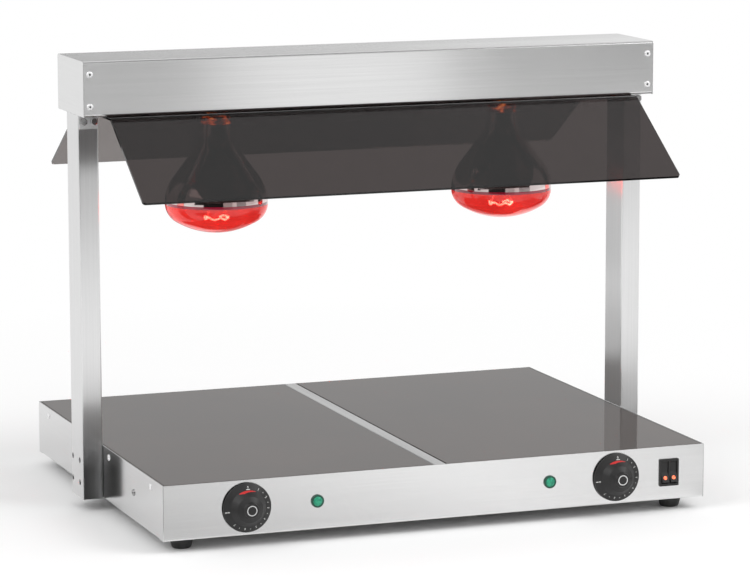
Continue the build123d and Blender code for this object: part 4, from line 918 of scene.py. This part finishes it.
# Cable gland on the rear panel
GLAND_THREAD = 8.0 * MM
GLAND_BODY = 8.0 * MM
GLAND_CAP = 9.5 * MM
GLAND_BORE = 4.5 * MM
GLAND_BORE_CORNER = 0.4 * MM
GLAND_CHAMFER = 1.0 * MM
GLAND_DOME = 2.5 * MM
GLAND_EDGE = 0.5 * MM
GLAND_LIP = 1.6 * MM
GLAND_LIP_CORNER = 1.0 * MM
GLAND_RIBS = 16
RIB_DEPTH = 0.6 * MM
RIB_STEPS = 6


def gland():
    """A hexagon body and a ribbed, domed nut round the bore."""
    low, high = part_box("cable_gland")
    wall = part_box("rear_panel")[1].y
    centre = (low + high) / 2
    corner = (high.z - low.z) / 2
    top = high.y - wall
    thread = lathe([
        (GLAND_BORE, low.y - wall), (GLAND_THREAD, low.y - wall), (GLAND_THREAD, 0), (GLAND_BORE, 0),
    ], FINE_SEGMENTS)
    bore = [(0, -MM), (GLAND_BORE, -MM), (GLAND_BORE, 2 * GLAND_BODY), (0, 2 * GLAND_BODY)]
    body = cut(hex_prism(corner, 0, GLAND_BODY, GLAND_CHAMFER), [lathe(bore, FINE_SEGMENTS)])
    cap = lathe(rounded([
        (GLAND_BORE, GLAND_BODY, 0), (GLAND_CAP, GLAND_BODY, 0), (GLAND_CAP, top - GLAND_DOME, GLAND_EDGE),
        (GLAND_BORE + GLAND_LIP, top, GLAND_LIP_CORNER), (GLAND_BORE, top, GLAND_BORE_CORNER),
        (GLAND_BORE, GLAND_BODY, 0),
    ]), GLAND_RIBS * RIB_STEPS)
    for vertex in cap.vertices:
        turn = math.atan2(vertex.co.y, vertex.co.x) * GLAND_RIBS
        outer = vertex.co.xy.length > GLAND_CAP - GLAND_EDGE
        if outer and math.cos(turn) < 0:
            vertex.co.xy *= 1 - RIB_DEPTH / GLAND_CAP
    mesh = joined([thread, body, cap])
    mesh.transform(facing((centre.x, wall, centre.z), (0, 1, 0)))
    piece("cable_gland_finished", mesh, "base", "black_plastic", "cable_gland")


# Lamps: the bulb's glass, zone edges above its lowest point, filament and screw cap
GLASS = 1.2 * MM
FACE_TOP = 35.0 * MM
MIRROR_BOTTOM = 38.5 * MM
MIRROR_TOP = 131.0 * MM
COIL_RING = 14.0 * MM
COIL_LEVEL = 17.0 * MM
COIL_SAG = 2.4 * MM
COIL_TURNS = 46
COIL_RADIUS = 1.1 * MM
COIL_SPAN = 300.0
COIL_STEPS = 8
WIRE = 0.28 * MM
LEAD_WIRE = 0.4 * MM
SUPPORTS = 5
STEM_RADIUS = 4.0 * MM
STEM_CORNER = 1.5 * MM
CAP_TURNS = 5
CAP_THREAD = 0.7 * MM
CAP_SHOULDER = 3.0 * MM
CONTACT_RADIUS = 4.5 * MM
CONTACT_HEIGHT = 2.0 * MM
INSULATOR_HEIGHT = 4.0 * MM


def bulb_outline(length, inset):
    """The bulb's outline from the middle of its face to the end of its stem, moved inwards by the inset."""
    face = LAMP_RADIUS ** 2 + LAMP_FACE_DEPTH ** 2 - 2 * LAMP_RADIUS * LAMP_CORNER
    face /= 2 * (LAMP_FACE_DEPTH - LAMP_CORNER)
    rim = LAMP_RADIUS - LAMP_CORNER
    turn = math.asin(rim / (face - LAMP_CORNER))
    line = []
    for step in range(ARC_STEPS):
        angle = turn * step / ARC_STEPS
        line.append(((face - inset) * math.sin(angle), face - (face - inset) * math.cos(angle)))
    corner = LAMP_CORNER - inset
    for step in range(ARC_STEPS):
        angle = turn + (math.pi / 2 - turn) * step / ARC_STEPS
        line.append((rim + corner * math.sin(angle), LAMP_FACE_DEPTH - corner * math.cos(angle)))
    shoulder = LAMP_SHOULDER - inset
    centre = LAMP_RADIUS - LAMP_SHOULDER
    neck = LAMP_NECK - inset
    to_neck = Vector((neck - centre, LAMP_NECK_START - LAMP_FACE_DEPTH))
    taper = to_neck.angle_signed(Vector((1, 0))) - math.acos(shoulder / to_neck.length)
    for step in range(ARC_STEPS + 1):
        angle = taper * step / ARC_STEPS
        line.append((centre + shoulder * math.cos(angle), LAMP_FACE_DEPTH + shoulder * math.sin(angle)))
    upper = rounded([
        (*line[-1], 0), (neck, LAMP_NECK_START, LAMP_NECK_BLEND),
        (LAMP_NECK_TOP - inset, LAMP_NECK_END, LAMP_NECK_CORNER),
        (LAMP_STEM - inset, LAMP_STEM_START, LAMP_STEM_CORNER), (LAMP_STEM - inset, length, 0),
    ], ARC_STEPS)
    return line + [tuple(point) for point in upper[1:]]


def split_at(line, heights):
    """The line with points added where it rises through the given heights."""
    points = [line[0]]
    for before, after in zip(line, line[1:]):
        for height in sorted(heights):
            if before[1] < height < after[1]:
                share = (height - before[1]) / (after[1] - before[1])
                points.append((before[0] + share * (after[0] - before[0]), height))
        points.append(after)
    return points


def bulb(side, box):
    """A hollow reflector lamp: ruby face, crimson edge, silvered shoulders and bare neck in a thin wall."""
    low, high = box
    length = high.z - low.z
    zones = (FACE_TOP, MIRROR_BOTTOM, MIRROR_TOP)
    outer = split_at(bulb_outline(length, 0), zones)
    inner = split_at(bulb_outline(length, GLASS), zones)
    mesh = moved(lathe(outer + inner[::-1]), Matrix.Translation((middle(box).x, middle(box).y, low.z)))
    piece(f"{side}_lamp_bulb", mesh, "base", "red_lamp_glass", "lamp_bulbs")
    for finish in ("lamp_edge", "lamp_mirror", "lamp_neck_glass"):
        mesh.materials.append(made[finish])
    for face in mesh.polygons:
        height = face.center.z - low.z
        face.material_index = sum(height > zone for zone in zones)


def wire(points, radius):
    """A round wire through points."""
    curve = bpy.data.curves.new("wire", "CURVE")
    curve.dimensions = "3D"
    curve.bevel_depth = radius
    curve.bevel_resolution = 1
    curve.use_fill_caps = True
    line = curve.splines.new("POLY")
    line.points.add(len(points) - 1)
    for point, place in zip(line.points, points):
        point.co = (*place, 1.0)
    return from_curve(curve)


def ring_point(centre, turn, radius, height):
    """A point round a lamp's axis."""
    return Vector((centre.x + radius * math.sin(turn), centre.y - radius * math.cos(turn), height))


def filament(side, box):
    """A coil hung in a ring from a glass stem by its leads and supports."""
    centre = middle(box)
    level = box[0].z + COIL_LEVEL
    span = math.radians(COIL_SPAN)
    points = []
    for step in range(COIL_TURNS * COIL_STEPS + 1):
        share = step / (COIL_TURNS * COIL_STEPS)
        turn = span * (share - 0.5)
        spin = 2 * math.pi * COIL_TURNS * share
        sag = COIL_SAG * math.cos(SUPPORTS * 2 * math.pi * share)
        radius = COIL_RING + COIL_RADIUS * math.cos(spin)
        points.append(ring_point(centre, turn, radius, level - sag / 2 + COIL_RADIUS * math.sin(spin)))
    coil = wire(points, WIRE)
    piece(f"{side}_lamp_coil", coil, "base", "filament", "lamp_filaments", finish="hot_filament")
    top = box[1].z
    bead = level + 2 * COIL_RING
    stem = lathe(rounded([
        (0, bead, 0), (STEM_RADIUS, bead, STEM_CORNER), (STEM_RADIUS, top, 0), (0, top, 0),
    ]), FINE_SEGMENTS)
    stem.transform(Matrix.Translation((centre.x, centre.y, 0)))
    wires = [stem]
    for support in range(SUPPORTS + 1):
        turn = span * (support / SUPPORTS - 0.5)
        hook = ring_point(centre, turn, COIL_RING, level - COIL_SAG / 2)
        root = ring_point(centre, turn, STEM_RADIUS / 2, bead + MM)
        wires.append(wire([root, ring_point(centre, turn, COIL_RING, level + COIL_SAG), hook], LEAD_WIRE))
    piece(f"{side}_lamp_stem", joined(wires), "base", "filament", "lamp_filaments")


def lamp_cap(side, box):
    """A screw cap: a plain skirt, a rolled thread, the insulator's cone and the end contact."""
    low, high = box
    radius = (high.x - low.x) / 2
    contact = high.z - CONTACT_HEIGHT
    shell = contact - INSULATOR_HEIGHT
    start = low.z + CAP_SHOULDER
    root = radius - CAP_THREAD
    outline = [(root - MM, low.z), (root, low.z), (root, start)]
    steps = CAP_TURNS * COIL_STEPS
    for step in range(1, steps + 1):
        wave = (1 - math.cos(2 * math.pi * step / COIL_STEPS)) / 2
        outline.append((root + CAP_THREAD * wave, start + (shell - start) * step / steps))
    outline += [(CONTACT_RADIUS, contact), (CONTACT_RADIUS, high.z), (0, high.z)]
    mesh = moved(lathe(outline), Matrix.Translation((middle(box).x, middle(box).y, 0)))
    piece(f"{side}_lamp_cap", mesh, "base", "brass", "lamp_caps")


# Studio

def seen_rays(tree, *kinds):
    """An output that is 1 for what the camera sees straight, and for rays of the other kinds named."""
    paths = tree.nodes.new("ShaderNodeLightPath")
    total = paths.outputs["Is Camera Ray"]
    for kind in kinds:
        either = tree.nodes.new("ShaderNodeMath")
        either.operation = "MAXIMUM"
        tree.links.new(total, either.inputs[0])
        tree.links.new(paths.outputs[kind], either.inputs[1])
        total = either.outputs["Value"]
    return total


def floor_material():
    """A pale floor that keeps the part's shadow, and turns to plain white further off."""
    finish = Finish("floor", grey(FLOOR_LEVEL), 0.9)
    finish.set("Specular IOR Level", 0.0)
    place = finish.node("ShaderNodeNewGeometry")
    distance = finish.node("ShaderNodeVectorMath")
    distance.operation = "LENGTH"
    finish.link(place.outputs["Position"], distance.inputs[0])
    far = finish.fit(distance.outputs["Value"], 0.0, 1.0, FLOOR_FADE)
    seen = seen_rays(finish.tree, "Is Glossy Ray", "Is Transmission Ray")
    white = finish.node("ShaderNodeEmission")
    blend = finish.node("ShaderNodeMixShader")
    finish.link(finish.maths("MULTIPLY", far, seen), blend.inputs["Fac"])
    finish.link(finish.shader.outputs["BSDF"], blend.inputs[1])
    finish.link(white.outputs["Emission"], blend.inputs[2])
    finish.link(blend.outputs["Shader"], finish.tree.nodes["Material Output"].inputs["Surface"])
    return finish.material


def flag_material(name, level, kind):
    """A matt board, partly clear as its kind says."""
    finish = Finish(name, grey(level), 1.0)
    finish.set("Specular IOR Level", 0.0)
    shares = []
    if kind in ("one-sided", "rising"):
        shares.append(finish.node("ShaderNodeNewGeometry").outputs["Backfacing"])
    if kind in ("soft", "rising", "feathered"):
        split = finish.node("ShaderNodeSeparateXYZ")
        finish.link(finish.node("ShaderNodeTexCoord").outputs["Object"], split.inputs["Vector"])
    if kind == "soft":
        shares.append(finish.fit(split.outputs["X"], 1.0, 0.0, (-BOARD_EDGE, BOARD_EDGE)))
    if kind == "rising":
        shares.append(finish.fit(split.outputs["Y"], 1.0, 0.0, (RISING_FROM, BOARD_EDGE)))
    if kind == "feathered":
        for axis in "XY":
            off = finish.maths("ABSOLUTE", split.outputs[axis])
            shares.append(finish.fit(off, 1.0, 0.0, (BOARD_EDGE - FEATHER, BOARD_EDGE)))
    if shares:
        shown = finish.maths("MULTIPLY", *shares) if len(shares) > 1 else shares[0]
        finish.link(shown, finish.shader.inputs["Alpha"])
    return finish.material


def add_floor():
    """The pale floor."""
    bpy.ops.mesh.primitive_plane_add(size=FLOOR_SIZE)
    floor = bpy.context.object
    floor.name = "floor"
    floor.data.materials.append(floor_material())


def add_boards():
    """The dark boards, hidden from all but reflections."""
    for name, (place, size, level, turn, kind) in FLAGS.items():
        bpy.ops.mesh.primitive_plane_add(size=2 * BOARD_EDGE, location=place, rotation=turn)
        board = bpy.context.object
        board.name = name
        board.scale = (*size, 1.0)
        board.data.materials.append(flag_material(name, level, kind))
        board.visible_camera = False
        board.visible_diffuse = False
        board.visible_transmission = False
        board.visible_shadow = False


def surroundings():
    """White all round: full to the camera and through glass, dimmer as light and in reflections."""
    world = bpy.data.worlds.new("studio")
    world.use_nodes = True
    bpy.context.scene.world = world
    tree = world.node_tree
    background = tree.nodes["Background"]
    background.inputs["Color"].default_value = (*grey(1.0), 1.0)
    strength = tree.nodes.new("ShaderNodeMapRange")
    strength.inputs["To Min"].default_value = AMBIENT
    strength.inputs["To Max"].default_value = 1.0
    tree.links.new(seen_rays(tree, "Is Transmission Ray"), strength.inputs["Value"])
    tree.links.new(strength.outputs["Result"], background.inputs["Strength"])


def soft_lamps():
    """The two soft lamps, turned to the part."""
    for name, (place, size, power) in SOFT_LAMPS.items():
        light = bpy.data.lights.new(name, "AREA")
        light.size = size
        light.energy = power
        thing = show(name, light)
        thing.location = place
        thing.rotation_euler = (VIEW_TARGET - place).to_track_quat("-Z", "Y").to_euler()


def lamp_glow(side, box):
    """A lamp's red light beside its bulb, which only the steel of the nearer post takes up."""
    lit = bpy.data.collections.new(f"{side}_lit_by_lamp")
    lit.objects.link(frame["nodes"][f"{side}_post"])
    light = bpy.data.lights.new(f"{side}_lamp_glow", "POINT")
    light.energy = GLOW_POWER
    light.color = GLOW_RED
    light.shadow_soft_size = GLOW_RADIUS
    thing = show(light.name, light)
    centre = middle(box)
    outward = math.copysign(LAMP_RADIUS + GLOW_RADIUS, centre.x)
    thing.location = (centre.x + outward, centre.y, box[0].z + GLOW_RISE)
    thing.light_linking.receiver_collection = lit


def camera():
    """The camera, where the photograph was taken from."""
    azimuth = math.radians(VIEW_AZIMUTH)
    elevation = math.radians(VIEW_ELEVATION)
    level = math.cos(elevation)
    back = Vector((math.sin(azimuth) * level, -math.cos(azimuth) * level, math.sin(elevation)))
    data = bpy.data.cameras.new("camera")
    data.sensor_width = SENSOR
    data.lens = LENS
    thing = show("camera", data)
    turn = (-back).to_track_quat("-Z", "Y").to_matrix().to_4x4()
    roll = Matrix.Rotation(math.radians(VIEW_ROLL), 4, "Z")
    thing.matrix_world = Matrix.Translation(VIEW_TARGET + back * VIEW_DISTANCE) @ turn @ roll
    bpy.context.scene.camera = thing


# The whole scene

slots = {part["node"]: part["material_slot"] for part in frame["record"]["subparts"]}
dress_frame()
for side in SIDES:
    knob(side)
for side, bezel_box, lens_box in zip(SIDES, solid_boxes("pilot_bodies"), solid_boxes("pilot_lenses")):
    pilot(side, bezel_box, lens_box)
for node, axis in (("header_rivets", 1), ("side_rivets", 0)):
    fasteners(node, axis, RIVET_HEAD, rivet_head)
    fasteners(node, axis, RIVET_HEAD, pin_end, finish="rivet_pin_painted_shade")
# Bracket bolts and earth screw take the zinc painted darker: painted shade
fasteners("bracket_bolts", 1, BOLT_HEAD, hex_head, finish="bolt_steel_painted_dark")
fasteners("guard_screws", 2, GUARD_SCREW_HEAD, pan_head, out=-1)
fasteners("post_screws", 0, POST_SCREW_HEAD, pan_head)
fasteners("earth_screw", 0, EARTH_SCREW_HEAD, pan_head, finish="bolt_steel_painted_dark")
feet()
gland()
for side, box in zip(SIDES, solid_boxes("lamp_bulbs")):
    bulb(side, box)
    filament(side, box)
    lamp_glow(side, box)
for side, box in zip(SIDES, solid_boxes("lamp_caps")):
    lamp_cap(side, box)

add_floor()
add_boards()
surroundings()
soft_lamps()
camera()
bpy.context.scene.view_settings.view_transform = "Standard"
